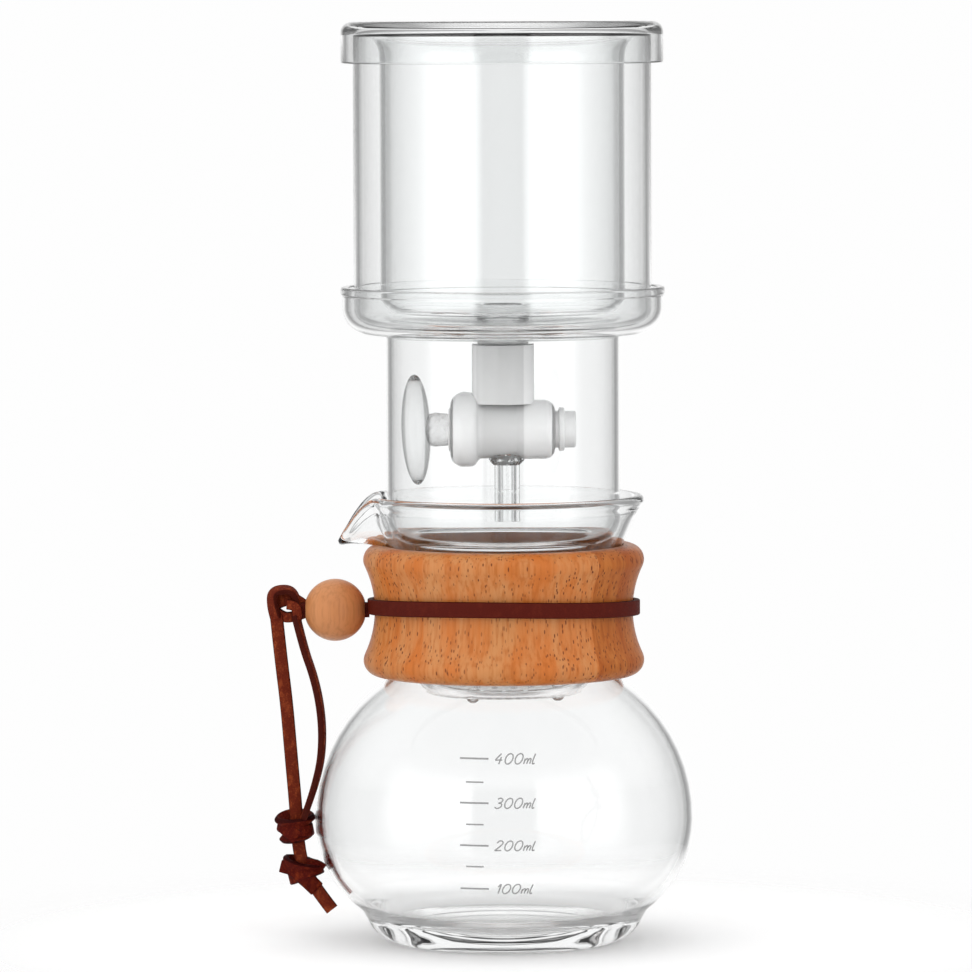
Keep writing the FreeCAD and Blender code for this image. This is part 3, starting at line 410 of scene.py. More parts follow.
@dataclass(frozen=True)
class Timber:
    """Oiled turned wood: upright bands and fibres, and short dark pores that lean a little."""

    name: str
    light: tuple[float, float, float]
    deep: tuple[float, float, float]
    pore: tuple[float, float, float]
    pore_count: float = 0.8
    pore_size: float = 0.31
    seed: float = 0.0
    roughness: float = 0.36
    gloss: float = 0.25
    coat: float = 0.15
    coat_roughness: float = 0.3
    band_scale: tuple[float, float, float] = (150.0, 150.0, 14.0)
    fibre_scale: tuple[float, float, float] = (1000.0, 1000.0, 60.0)
    cloud_scale: tuple[float, float, float] = (45.0, 45.0, 30.0)
    pore_scale: tuple[float, float, float] = (1250.0, 1250.0, 340.0)
    pore_depth: float = 0.00007

    def make(self) -> bpy.types.Material:
        """Build the material."""
        material, recipe = new_material(self.name)
        shift = (self.seed, self.seed * 1.7, self.seed * 0.6)
        bands = recipe.noise(recipe.place(self.band_scale, shift), detail=4.0, roughness=0.6)
        fibres = recipe.noise(recipe.place(self.fibre_scale, shift), detail=2.0)
        clouds = recipe.noise(recipe.place(self.cloud_scale, shift), detail=1.0)
        figure = bands.step(0.36, 0.68) * 0.75 + clouds * 0.2
        broad = recipe.blend(figure, rgba(self.light), rgba(self.deep))
        fibre = rgba([0.75 * part for part in self.deep])
        fine = recipe.blend(fibres.step(0.42, 0.72) * 0.55, broad, fibre)
        cells = recipe.node(
            "ShaderNodeTexVoronoi",
            {"feature": "F1", "distance": "EUCLIDEAN"},
            {"Vector": recipe.place(self.pore_scale, shift), "Scale": 1.0, "Randomness": 1.0},
        )
        pick = recipe.node("ShaderNodeSeparateColor", {}, {0: cells.outputs["Color"]})
        kept = recipe.value(pick, 0).step(self.pore_count + 0.02, self.pore_count - 0.02)
        size = self.pore_size
        pores = recipe.value(cells, "Distance").step(size, size * 0.5) * kept
        pits = pores * (clouds.step(0.3, 0.6) * 0.6 + 0.4)
        height = 1.0 - pits + fibres * 0.2
        finish_material(recipe, {
            "Base Color": recipe.blend(pits, fine, rgba(self.pore)),
            "Roughness": pits * 0.3 + bands * 0.08 + self.roughness,
            "IOR": 1.45,
            "Specular IOR Level": self.gloss,
            "Coat Weight": self.coat,
            "Coat Roughness": self.coat_roughness,
            "Normal": recipe.bump(height, self.pore_depth),
        })
        return material


@dataclass(frozen=True)
class Hide:
    """Dyed leather: grained face with rubbed specks, darker cut edges."""

    name: str
    face: tuple[float, float, float]
    rub: tuple[float, float, float]
    edge: tuple[float, float, float]
    roughness: float = 0.55
    gloss: float = 0.1
    blotch_scale: tuple[float, float, float] = (420.0, 420.0, 260.0)
    grain_scale: float = 2200.0
    grain_depth: float = 0.00014
    specks: float = 0.5

    def make(self) -> bpy.types.Material:
        """Build the material."""
        material, recipe = new_material(self.name)
        blotches = recipe.noise(recipe.place(self.blotch_scale), detail=4.0, roughness=0.6)
        pebbles = recipe.noise(recipe.place((self.grain_scale,) * 3), detail=3.0, roughness=0.6)
        side = recipe.value(recipe.node("ShaderNodeAttribute", {"attribute_name": "edge"}, {}), "Fac")
        worn = blotches.step(0.42, 0.72) * 0.6 + pebbles.step(0.5, 0.68) * self.specks
        face = recipe.blend(worn.step(0.0, 1.0), rgba(self.face), rgba(self.rub))
        colour = recipe.blend(side.step(0.35, 0.9) * 0.9, face, rgba(self.edge))
        finish_material(recipe, {
            "Base Color": colour,
            "Roughness": self.roughness + blotches * 0.15,
            "IOR": 1.42,
            "Specular IOR Level": self.gloss,
            "Normal": recipe.bump(pebbles, self.grain_depth),
        })
        return material


@dataclass(frozen=True)
class PrintedInk:
    """Grey ink printed on the glass, a little worn."""

    name: str = "grey_ink"
    colour: tuple[float, float, float] = (0.27, 0.27, 0.27)
    wear_scale: float = 3500.0
    paling: float = 1.4

    def make(self) -> bpy.types.Material:
        """Build the material."""
        material, recipe = new_material(self.name)
        wear = recipe.noise(recipe.place((self.wear_scale,) * 3), detail=2.0)
        pale = [part * self.paling for part in self.colour]
        finish_material(recipe, {
            "Base Color": recipe.blend(wear.step(0.45, 0.7), rgba(self.colour), rgba(pale)),
            "Roughness": wear * 0.2 + 0.45,
        })
        return material


@dataclass(frozen=True)
class FilterWeave:
    """Fine pale mesh that light passes through."""

    name: str = "filter_weave"
    tint: tuple[float, float, float] = (0.92, 0.92, 0.9)
    pitch: float = 0.0006
    depth: float = 0.0001

    def make(self) -> bpy.types.Material:
        """Build the material."""
        material, recipe = new_material(self.name)
        across, beside, _ = recipe.position(FULL_TURN / self.pitch)
        threads = (across.cosine() + beside.cosine()).step(-0.6, 1.2)
        finish_material(recipe, {
            "Base Color": rgba(self.tint),
            "Roughness": 0.5,
            "Alpha": threads * 0.12 + 0.02,
            "Normal": recipe.bump(threads, self.depth),
        })
        return material


# Meshes


@dataclass(frozen=True)
class Corner:
    """One corner of a contour and what leaves it."""

    radius: float
    height: float
    rounding: float = 0.0
    bend: float = 0.0
    turn: int = 0


class Contour:
    """A closed outline in the plane of radius and height, in millimetres."""

    def __init__(self) -> None:
        """Start with no corners."""
        self.corners: list[Corner] = []

    def line(self, radius: float, height: float, rounding: float = 0.0) -> "Contour":
        """Add a corner that a straight line leaves."""
        self.corners.append(Corner(radius, height, rounding=rounding))
        return self

    def left_arc(self, radius: float, height: float, bend: float) -> "Contour":
        """Add a corner that an arc leaves, turning left."""
        self.corners.append(Corner(radius, height, bend=bend, turn=1))
        return self

    def right_arc(self, radius: float, height: float, bend: float) -> "Contour":
        """Add a corner that an arc leaves, turning right."""
        self.corners.append(Corner(radius, height, bend=bend, turn=-1))
        return self

    def points(self) -> np.ndarray:
        """Give the outline's points, with its arcs and roundings divided evenly."""
        marks = [np.array((corner.radius, corner.height)) for corner in self.corners]
        count = len(marks)
        found: list[np.ndarray] = []
        for index, corner in enumerate(self.corners):
            here, after = marks[index], marks[(index + 1) % count]
            if corner.rounding:
                found += rounded(marks[index - 1], here, after, corner.rounding)
            else:
                found.append(here)
            if corner.turn:
                found += arc_between(here, after, corner.bend, corner.turn)
        return np.array(found)


def rounded(
    before: np.ndarray, here: np.ndarray, after: np.ndarray, radius: float
) -> list[np.ndarray]:
    """Round a corner between two straight lines.

    Args:
        before: The corner before.
        here: The corner that is rounded.
        after: The corner after.
        radius: The rounding's radius.

    Returns:
        The points of the rounding, from line to line.
    """
    back = (before - here) / np.linalg.norm(before - here)
    ahead = (after - here) / np.linalg.norm(after - here)
    half = math.acos(float(np.clip(back @ ahead, -1.0, 1.0))) / 2.0
    reach = radius / math.tan(half)
    start, end = here + back * reach, here + ahead * reach
    turn = 1 if back[1] * ahead[0] - back[0] * ahead[1] > 0 else -1
    return [start, *arc_between(start, end, radius, turn), end]


def arc_between(start: np.ndarray, end: np.ndarray, radius: float, turn: int) -> list[np.ndarray]:
    """Divide an arc of under half a turn, leaving out both its ends.

    Args:
        start: Where the arc starts.
        end: Where it ends.
        radius: Its radius.
        turn: 1 if it turns left, and -1 if it turns right.

    Returns:
        The points between the ends.
    """
    chord = end - start
    length = float(np.linalg.norm(chord))
    rise = math.sqrt(max(radius ** 2 - (length / 2.0) ** 2, 0.0))
    left = np.array((-chord[1], chord[0])) / length
    centre = (start + end) / 2.0 + left * rise * turn
    first = math.atan2(*(start - centre)[::-1])
    last = math.atan2(*(end - centre)[::-1])
    sweep = (last - first) * turn % FULL_TURN
    parts = max(2, math.ceil(sweep / ARC_STEP))
    angles = [first + turn * sweep * step / parts for step in range(1, parts)]
    return [centre + radius * np.array((math.cos(angle), math.sin(angle))) for angle in angles]


def even_angles(count: int) -> np.ndarray:
    """Give the directions of columns that stand evenly round the axis."""
    return np.arange(count) * FULL_TURN / count


def spun(outline: np.ndarray, angles: np.ndarray) -> np.ndarray:
    """Turn points about the upright axis.

    Args:
        outline: The points, as radius and height.
        angles: The direction of each column.

    Returns:
        The points, as rows by columns by three.
    """
    radius, height = outline[:, :1], outline[:, 1:]
    across, beside = radius * np.cos(angles), radius * np.sin(angles)
    return np.stack((across, beside, np.broadcast_to(height, across.shape)), axis=2)


class Skin:
    """The surface of one piece while it is being made, in millimetres."""

    def __init__(self) -> None:
        """Start with nothing."""
        self.vertices: list[np.ndarray] = []
        self.faces: list[tuple[int, ...]] = []
        self.edge_marks: list[np.ndarray] = []
        self.count = 0

    def add_points(self, points: np.ndarray, edge: np.ndarray | float = 0.0) -> int:
        """Add vertices.

        Args:
            points: Their places, one row each.
            edge: How much each lies on a cut edge, from 0 to 1.

        Returns:
            The number of the first one.
        """
        first = self.count
        self.vertices.append(np.asarray(points, float))
        self.edge_marks.append(np.broadcast_to(edge, (len(points),)))
        self.count += len(points)
        return first

    def grid(self, rows: np.ndarray, edge: np.ndarray | float = 0.0, closed: bool = False) -> None:
        """Cover rows of points that each run all the way round.

        Args:
            rows: The points, as rows by columns by three.
            edge: How much each column lies on a cut edge.
            closed: Whether the last row joins the first.
        """
        height, width = rows.shape[:2]
        marks = np.tile(np.broadcast_to(edge, (width,)), height)
        first = self.add_points(rows.reshape(-1, 3), marks)
        for row in range(height if closed else height - 1):
            here = first + row * width
            above = first + (row + 1) % height * width
            for column in range(width):
                beside = (column + 1) % width
                self.faces.append((here + column, here + beside, above + beside, above + column))

    def turned(
        self, outline: np.ndarray, axis: Axis = Axis.UP, columns: int = COLUMNS, wobble: float = 0.0
    ) -> None:
        """Turn a closed outline about an axis.

        Args:
            outline: Points of radius and height, running round to the left.
            axis: What it is turned about; along the barrel, height runs to +X.
            columns: How many columns the surface has.
            wobble: How far the radius of a hand-shaped piece wanders, as a share of it.
        """
        angles = even_angles(columns)
        height = np.broadcast_to(outline[:, 1:], (len(outline), columns))
        broad = np.sin(3.0 * angles + 0.7 + 0.9 * height)
        narrow = np.sin(8.0 * angles + 2.1 - 1.7 * height)
        radius = outline[:, :1] * (1.0 + wobble * (0.5 * broad + 0.5 * narrow))
        across, beside = radius * np.cos(angles), radius * np.sin(angles)
        if axis is Axis.UP:
            rows = np.stack((across, beside, height), axis=2)
        else:
            rows = np.stack((height, across, beside), axis=2)
        on_axis = outline[0, 0] < ON_AXIS and outline[-1, 0] < ON_AXIS
        self.grid(rows, closed=not on_axis)

    def cap(self, ring: Sequence[int]) -> None:
        """Close a ring of vertices with one face."""
        self.faces.append(tuple(ring))

    def make(self, name: str, shift: Sequence[float] = (0.0, 0.0, 0.0)) -> bpy.types.Object:
        """Make the piece, in metres, smooth apart from its sharp edges.

        Args:
            name: The piece's name.
            shift: What is added to every point, in millimetres.

        Returns:
            The object, linked to the scene.
        """
        points = (np.vstack(self.vertices) + np.asarray(shift)) * MM
        mesh = bpy.data.meshes.new(name)
        mesh.from_pydata(points.tolist(), [], self.faces)
        marks = mesh.attributes.new("edge", "FLOAT", "POINT")
        marks.data.foreach_set("value", np.concatenate(self.edge_marks).astype(np.float32))
        tidy = bmesh.new()
        tidy.from_mesh(mesh)
        bmesh.ops.remove_doubles(tidy, verts=tidy.verts, dist=SAME_PLACE)
        bmesh.ops.dissolve_degenerate(tidy, edges=tidy.edges, dist=NO_LENGTH)
        tidy.to_mesh(mesh)
        tidy.free()
        mesh.shade_smooth()
        mesh.set_sharp_from_angle(angle=SHARP_EDGE)
        piece = bpy.data.objects.new(name, mesh)
        bpy.context.scene.collection.objects.link(piece)
        return piece


def dress(
    piece: bpy.types.Object, material: bpy.types.Material, body: Body, nodes: Iterable[str]
) -> None:
    """Give a piece its material, its body and the nodes that it stands for.

    Args:
        piece: The piece.
        material: Its finish.
        body: The body that it rides on.
        nodes: The frame's nodes that it replaces.
    """
    piece.data.materials.clear()
    piece.data.materials.append(material)
    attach(piece, body.value)
    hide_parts(*nodes)
    LOG.info("%s: %d faces on %s", piece.name, len(piece.data.polygons), body.value)


def grind(piece: bpy.types.Object, ground: bpy.types.Material, on_face: Callable[[Vector], bool]) -> None:
    """Give the ground faces of a glass piece their own finish.

    Args:
        piece: The piece.
        ground: The finish of its ground faces.
        on_face: Tells from a face's middle, in millimetres, whether the face is ground.
    """
    piece.data.materials.append(ground)
    for face in piece.data.polygons:
        if on_face(face.center / MM):
            face.material_index = 1


def unit(vectors: np.ndarray) -> np.ndarray:
    """Scale vectors to length one."""
    return vectors / np.maximum(np.linalg.norm(vectors, axis=-1, keepdims=True), 1e-12)


def even_spline(stations: Sequence[Sequence[float]], at: np.ndarray) -> np.ndarray:
    """Run smoothly through stations that are mirrored at the first one.

    Args:
        stations: Rows of a place, starting at 0, and the numbers there.
        at: The places to read, of either sign.

    Returns:
        The numbers at each place.
    """
    table = np.asarray(stations, float)
    places = np.concatenate((-table[1:2, 0], table[:, 0]))
    numbers = np.vstack((table[1:2, 1:], table[:, 1:]))
    slopes = np.gradient(numbers, places, axis=0)
    slopes[1] = 0.0
    slopes[-1] = 0.0
    where = np.clip(np.abs(at), 0.0, places[-1])
    index = np.clip(np.searchsorted(places, where, side="right") - 1, 1, len(places) - 2)
    span = (places[index + 1] - places[index])[:, None]
    share = (where[:, None] - places[index][:, None]) / span
    square, cube = share ** 2, share ** 3
    return (
        (2 * cube - 3 * square + 1) * numbers[index]
        + (cube - 2 * square + share) * span * slopes[index]
        + (3 * square - 2 * cube) * numbers[index + 1]
        + (cube - square) * span * slopes[index + 1]
    )


# The hanging lace


def spline_line(route: Sequence[Sequence[float]]) -> np.ndarray:
    """Read the smooth line of a route from its own spline.

    Args:
        route: The spline's control points.

    Returns:
        The points along it, in the route's unit.
    """
    curve = bpy.data.curves.new("route", "CURVE")
    curve.dimensions = "3D"
    curve.resolution_u = 12
    spline = curve.splines.new("NURBS")
    spline.points.add(len(route) - 1)
    for point, place in zip(spline.points, route):
        point.co = (*place, 1.0)
    spline.order_u = 3
    spline.use_endpoint_u = True
    holder = bpy.data.objects.new("route", curve)
    bpy.context.scene.collection.objects.link(holder)
    bpy.context.view_layer.update()
    flat = bpy.data.meshes.new_from_object(holder)
    found = np.array([tuple(vertex.co) for vertex in flat.vertices])
    bpy.data.objects.remove(holder)
    bpy.data.curves.remove(curve)
    bpy.data.meshes.remove(flat)
    return found


@dataclass
class HangingEnd:
    """One hanging end of the leather lace, laid along its route."""

    name: str
    node: str
    route: tuple[tuple[float, float, float], ...]
    wide: tuple[float, float, float]
    length: float
    width: float = 0.0037
    thickness: float = 0.0019
    twist: float = 0.0

    def build(self, material: bpy.types.Material) -> bpy.types.Object:
        """Make the strip along the line.

        Args:
            material: The leather.

        Returns:
            The strip.
        """
        centre = spline_line(self.route)
        strip = leather_strip(centre / MM, self.wide, self.width / MM, self.thickness / MM, self.twist)
        piece = strip.make(self.name)
        dress(piece, material, Body.CARAFE, [self.node])
        return piece

    def declare(self) -> None:
        """Read the points of the strip's line and keep nothing."""
        [tuple(point) for point in spline_line(self.route)]


def strip_section(width: float, thickness: float) -> tuple[np.ndarray, np.ndarray]:
    """Outline a flat lace with softened corners.

    Args:
        width: Its width.
        thickness: Its thickness.

    Returns:
        The points as across and deep, and how much each lies on a cut edge.
    """
    half_wide, half_thick = width / 2.0, thickness / 2.0
    soft = half_thick * 0.55
    points: list[tuple[float, float]] = []
    edges: list[float] = []
    for side_x, side_y, start in ((1, -1, -90), (1, 1, 0), (-1, 1, 90), (-1, -1, 180)):
        for step in range(4):
            angle = math.radians(start + step * 30)
            x = side_x * (half_wide - soft) + soft * math.cos(angle)
            y = side_y * (half_thick - soft) + soft * math.sin(angle)
            points.append((x, y))
            edges.append(min(1.0, max(0.0, (abs(x) - half_wide + soft) / soft)))
    return np.array(points), np.array(edges)


def leather_strip(
    line: np.ndarray, wide: Sequence[float], width: float, thickness: float, twist: float = 0.0,
    skin: Skin | None = None,
) -> Skin:
    """Lay a flat lace along a line.

    Args:
        line: The points of the line.
        wide: The direction that the lace is wide along at its start.
        width: Its width.
        thickness: Its thickness.
        twist: How far it twists along its length, in radians.
        skin: What it is added to; a new surface if none is given.

    Returns:
        The surface, with the strip closed at both ends.
    """
    along = unit(np.gradient(line, axis=0))
    section, edges = strip_section(width, thickness)
    rows = []
    side = unit(np.asarray(wide, float) - along[0] * (along[0] @ np.asarray(wide, float)))
    for index, (point, ahead) in enumerate(zip(line, along)):
        side = unit(side - ahead * (ahead @ side))
        deep = np.cross(ahead, side)
        angle = twist * index / (len(line) - 1)
        across = side * math.cos(angle) + deep * math.sin(angle)
        through = np.cross(ahead, across)
        rows.append(point + section[:, :1] * across + section[:, 1:] * through)
    skin = skin or Skin()
    first = skin.count
    skin.grid(np.array(rows), edges)
    ring = len(section)
    last = first + (len(line) - 1) * ring
    skin.cap(range(first + ring - 1, first - 1, -1))
    skin.cap(range(last, last + ring))
    return skin


# Glass


@dataclass
class Carafe:
    """The blown carafe with its drooping spout and printed volume marks."""

    wall: float = 1.9
    tip_wall: float = 1.35
    lip_swell: float = 0.6
    lower_curve: float = 32.0
    upper_curve: float = 48.0
    belly_radius: float = 53.7
    belly_up: float = 35.0
    belly_start_up: float = 9.2
    neck_radius: float = 28.0
    neck_curve: float = 15.0
    flare_up: float = 99.5
    flare_curve: float = 10.0
    flare_slope: float = 11.6 / 26.5
    spout_start_up: float = 111.3
    spout_rows: int = 22
    lip_rows: int = 8
    lip_share: float = 0.13
    columns: int = 300

    # Half the spout, by the angle from its middle in degrees: the lip's radius and height, the
    # first and the second bend's radius and height, and the share of the full wall
    spout_stations = (
        (0.0, 45.7, 113.5, 33.2, 113.5, 42.0, 113.35, 0.0),
        (5.0, 43.9, 116.7, 33.3, 113.6, 42.6, 113.5, 0.1),
        (10.0, 42.3, 120.0, 33.5, 114.0, 41.0, 114.6, 0.3),
        (15.0, 40.6, 122.9, 33.8, 115.0, 39.2, 117.0, 0.6),
        (20.0, 39.2, 124.6, 34.1, 115.8, 37.2, 120.0, 0.9),
        (26.0, 38.15, 125.05, 34.2, 116.0, 36.2, 120.5, 1.0),
    )

    def wall_corners(self, inset: float) -> Contour:
        """Outline the belly, neck and flare, inset from the outer surface."""
        upper_centre = self.belly_radius - self.upper_curve
        reach = self.neck_radius + self.neck_curve - upper_centre
        total = self.upper_curve + self.neck_curve
        rise = math.sqrt(total ** 2 - reach ** 2)
        bend = self.upper_curve - inset
        stretch = math.sqrt(1.0 + self.flare_slope ** 2)
        corner_up = self.flare_up + inset * (stretch - 1.0) / self.flare_slope
        start_radius = self.flare_radius(self.spout_start_up, inset)
        return (
            Contour()
            .left_arc(self.belly_radius - inset, self.belly_up, bend)
            .right_arc(
                upper_centre + reach * bend / total, self.belly_up + rise * bend / total,
                self.neck_curve + inset,
            )
            .line(self.neck_radius - inset, self.belly_up + rise)
            .line(self.neck_radius - inset, corner_up, self.flare_curve + inset)
            .line(start_radius, self.spout_start_up)
        )

    def flare_radius(self, height: float, inset: float) -> float:
        """Give the radius of the flare's surface at a height."""
        stretch = math.sqrt(1.0 + self.flare_slope ** 2)
        return self.neck_radius + self.flare_slope * (height - self.flare_up) - inset * stretch

    def outer_points(self) -> np.ndarray:
        """Give the outer surface from the middle of the base to the start of the spout."""
        base = (
            Contour()
            .line(0.0, 0.8)
            .line(24.0, 0.0)
            .left_arc(31.0, 0.0, 10.0)
            .line(39.0, 6.6)
            .left_arc(self.outer_radius(self.belly_start_up), self.belly_start_up, self.lower_curve)
        )
        base.corners += self.wall_corners(0.0).corners
        return base.points()

    def inner_points(self) -> np.ndarray:
        """Give the inner surface from the start of the spout down to the middle of the floor."""
        bend = self.lower_curve - self.wall
        hollow = (
            Contour()
            .line(0.0, self.belly_up - bend)
            .left_arc(self.belly_radius - self.lower_curve, self.belly_up - bend, bend)
        )
        hollow.corners += self.wall_corners(self.wall).corners
        return hollow.points()[::-1]

    def spout_sheet(self, angles: np.ndarray) -> tuple[np.ndarray, np.ndarray]:
        """Lay out the middle of the wall from the flare to the lip, all the way round.

        Args:
            angles: The direction of each column.

        Returns:
            The points, as rows by columns by three, and the wall's thickness at each column.
        """
        from_spout = np.degrees(angles % FULL_TURN - math.pi)
        numbers = even_spline(self.spout_stations, from_spout)
        start_up = self.spout_start_up
        start = np.array((self.flare_radius(start_up, self.wall / 2.0), start_up))
        lip, first, second = numbers[:, 0:2], numbers[:, 2:4], numbers[:, 4:6]
        share = np.linspace(0.0, 1.0, self.spout_rows)[:, None, None]
        path = (
            (1 - share) ** 3 * start + 3 * (1 - share) ** 2 * share * first
            + 3 * (1 - share) * share ** 2 * second + share ** 3 * lip
        )
        radius, height = path[:, :, 0], path[:, :, 1]
        points = np.stack((radius * np.cos(angles), radius * np.sin(angles), height), axis=2)
        return points, self.tip_wall + (self.wall - self.tip_wall) * numbers[:, 6]

    def rows(self) -> np.ndarray:
        """Give every row of the carafe's surface, from the base out, over the lip and in again."""
        angles = even_angles(self.columns)
        middle, wall = self.spout_sheet(angles)
        upward = unit(np.gradient(middle, axis=0))
        sideways = unit(np.roll(middle, -1, axis=1) - np.roll(middle, 1, axis=1))
        outward = unit(np.cross(sideways, upward))
        to_lip = np.linspace(1.0, 0.0, self.spout_rows)[:, None, None]
        half = (wall / 2.0)[None, :, None]
        half = half + (self.wall / 2.0 - half) * to_lip ** 2
        half = half * (1.0 + self.lip_swell * np.exp(-(to_lip / self.lip_share) ** 2))
        outer = middle + outward * half
        inner = middle - outward * half
        lip = []
        for step in range(1, self.lip_rows):
            bend = math.pi * step / self.lip_rows
            lip.append(middle[-1] + (outward[-1] * math.cos(bend) + upward[-1] * math.sin(bend)) * half[-1])
        below = spun(self.outer_points()[:-1], angles)
        floor = spun(self.inner_points()[1:], angles)
        return np.concatenate((below, outer, np.array(lip), inner[::-1], floor))

    def outer_radius(self, height: float) -> float:
        """Give the belly's outer radius at a height."""
        curve = self.lower_curve if height < self.belly_up else self.upper_curve
        return self.belly_radius - curve + math.sqrt(curve ** 2 - (height - self.belly_up) ** 2)

    def build(self, glass: bpy.types.Material) -> None:
        """Make the glass."""
        skin = Skin()
        skin.grid(self.rows())
        dress(skin.make("carafe_glass"), glass, Body.CARAFE, ["carafe"])


@dataclass
class CoffeeChamber:
    """Dish, tube, shoulder and filter cup, blown and fused into one piece."""

    shoulder_up: float = 113.25
    radius: float = 33.0
    wall: float = 1.5
    rise: float = 58.8
    cup_radius: float = 25.0
    cup_depth: float = 43.6
    cup_curve: float = 5.8
    shoulder_curve: float = 6.9
    plate: float = 2.0
    dish_radius: float = 45.2
    dish_wall: float = 1.6
    dish_depth: float = 13.3
    hole_radius: float = 0.9
    hole_pitch: float = 5.0
    hole_rings: tuple[int, ...] = (6, 12, 18)
    hole_sides: int = 20
    nub_radius: float = 1.7
    nub_drop: float = 1.3
    nub_circle: float = 17.4
    nub_start: float = -120.0
    nub_sides: int = 24
    nub_rows: int = 7

    def contour(self) -> Contour:
        """Outline the glass, from the underside of the plate's rim round to its top."""
        inner = self.radius - self.wall
        floor_out = self.cup_radius - self.cup_curve
        bend = self.shoulder_curve
        centre = self.radius - bend
        dish_in = self.dish_radius - self.dish_wall
        bead = self.dish_radius + 0.5
        return (
            Contour()
            .left_arc(floor_out, -self.cup_depth, self.cup_curve)
            .line(self.cup_radius, self.cup_curve - self.cup_depth)
            .line(self.cup_radius, 0.0, 0.9)
            .left_arc(centre, 0.0, bend)
            .line(self.radius, bend)
            .line(self.radius, self.rise, 1.0)
            .line(self.dish_radius, self.rise, 7.5)
            .line(self.dish_radius, self.rise + self.dish_depth - 2.5, 0.6)
            .line(bead, self.rise + self.dish_depth - 2.0, 0.3)
            .line(bead, self.rise + self.dish_depth, 0.7)
            .line(dish_in, self.rise + self.dish_depth, 0.7)
            .line(dish_in, self.rise + self.dish_wall, 5.9)
            .line(inner, self.rise + self.dish_wall, 1.0)
            .right_arc(inner, bend, bend - self.wall)
            .line(centre, self.wall)
            .line(self.cup_radius - self.wall, self.wall, 0.9 + self.wall)
            .right_arc(
                self.cup_radius - self.wall, self.cup_curve - self.cup_depth, self.cup_curve - self.wall
            )
            .line(floor_out, self.wall - self.cup_depth)
            .line(floor_out, self.plate - self.cup_depth)
        )

    def hole_places(self) -> list[tuple[float, float]]:
        """Give the middle of every hole in the plate."""
        places = [(0.0, 0.0)]
        for ring, count in enumerate(self.hole_rings, start=1):
            radius = self.hole_pitch * ring
            places += [(radius * math.cos(turn), radius * math.sin(turn)) for turn in even_angles(count)]
        return places

    def nub_places(self) -> list[tuple[float, float]]:
        """Give the middle of every nub under the plate."""
        turns = [math.radians(self.nub_start + 90.0 * step) for step in range(4)]
        return [(self.nub_circle * math.cos(turn), self.nub_circle * math.sin(turn)) for turn in turns]

    def build(self, glass: bpy.types.Material) -> None:
        """Make the glass."""
        skin = Skin()
        skin.grid(spun(self.contour().points(), even_angles(COLUMNS)))
        rim = circle((0.0, 0.0), self.cup_radius - self.cup_curve, COLUMNS)
        holes = [circle(place, self.hole_radius, self.hole_sides) for place in self.hole_places()]
        nubs = [circle(place, self.nub_radius, self.nub_sides) for place in self.nub_places()]
        low, high = -self.cup_depth, self.plate - self.cup_depth
        pierced_disc(skin, rim, holes + nubs, low, downward=True)
        pierced_disc(skin, rim, holes, high, downward=False)
        for hole in holes:
            ring = np.array(hole)
            levels = [np.column_stack((ring, np.full(len(ring), level))) for level in (high, low)]
            skin.grid(np.array(levels))
        for nub, place in zip(nubs, self.nub_places()):
            self.hang_nub(skin, nub, place, low)
        piece = skin.make("chamber_glass", (0.0, 0.0, self.shoulder_up))
        nodes = ["seat_dish", "chamber_tube", "filter_cup", "perforated_plate", "drip_nubs"]
        dress(piece, glass, Body.CHAMBER, nodes)

    def hang_nub(self, skin: Skin, ring: list[np.ndarray], place: tuple[float, float], top: float) -> None:
        """Close a ring under the plate with a round drop of glass."""
        middle = np.array(place)
        rows = []
        for step in range(self.nub_rows):
            angle = math.pi / 2.0 * step / (self.nub_rows - 1)
            flat = middle + (np.array(ring) - middle) * math.cos(angle)
            depth = np.full(len(ring), top - self.nub_drop * math.sin(angle))
            rows.append(np.column_stack((flat, depth)))
        skin.grid(np.array(rows)[::-1])


def circle(middle: tuple[float, float], radius: float, count: int) -> list[np.ndarray]:
    """Give points evenly round a circle."""
    turns = even_angles(count)
    return [np.array(middle) + radius * np.array((math.cos(turn), math.sin(turn))) for turn in turns]


def pierced_disc(
    skin: Skin, rim: list[np.ndarray], holes: list[list[np.ndarray]], height: float, downward: bool
) -> None:
    """Fill a flat disc round its holes.

    Args:
        skin: What the faces are added to.
        rim: The disc's outline.
        holes: The outlines of its holes.
        height: Where it lies.
        downward: Whether it faces down.
    """
    flat = [Vector(point) for point in rim]
    loops = [(0, len(rim))]
    for hole in holes:
        loops.append((len(flat), len(hole)))
        flat += [Vector(point) for point in hole]
    edges = [(first + step, first + (step + 1) % count) for first, count in loops for step in range(count)]
    points, _, faces, *_ = delaunay_2d_cdt(flat, edges, [], 1, 1e-7)
    places = np.array([tuple(point) for point in points])
    first = skin.add_points(np.column_stack((places, np.full(len(places), height))))
    centres = [np.mean(hole, axis=0) for hole in holes]
    radii = [float(np.linalg.norm(hole[0] - centre)) for hole, centre in zip(holes, centres)]
    for face in faces:
        middle = places[list(face)].mean(axis=0)
        if any(np.linalg.norm(middle - centre) < radius * 0.999 for centre, radius in zip(centres, radii)):
            continue
        one, two, three = places[list(face)[:3]]
        upward = np.cross(two - one, three - one) > 0
        ring = list(face) if upward != downward else list(face)[::-1]
        skin.cap([first + corner for corner in ring])


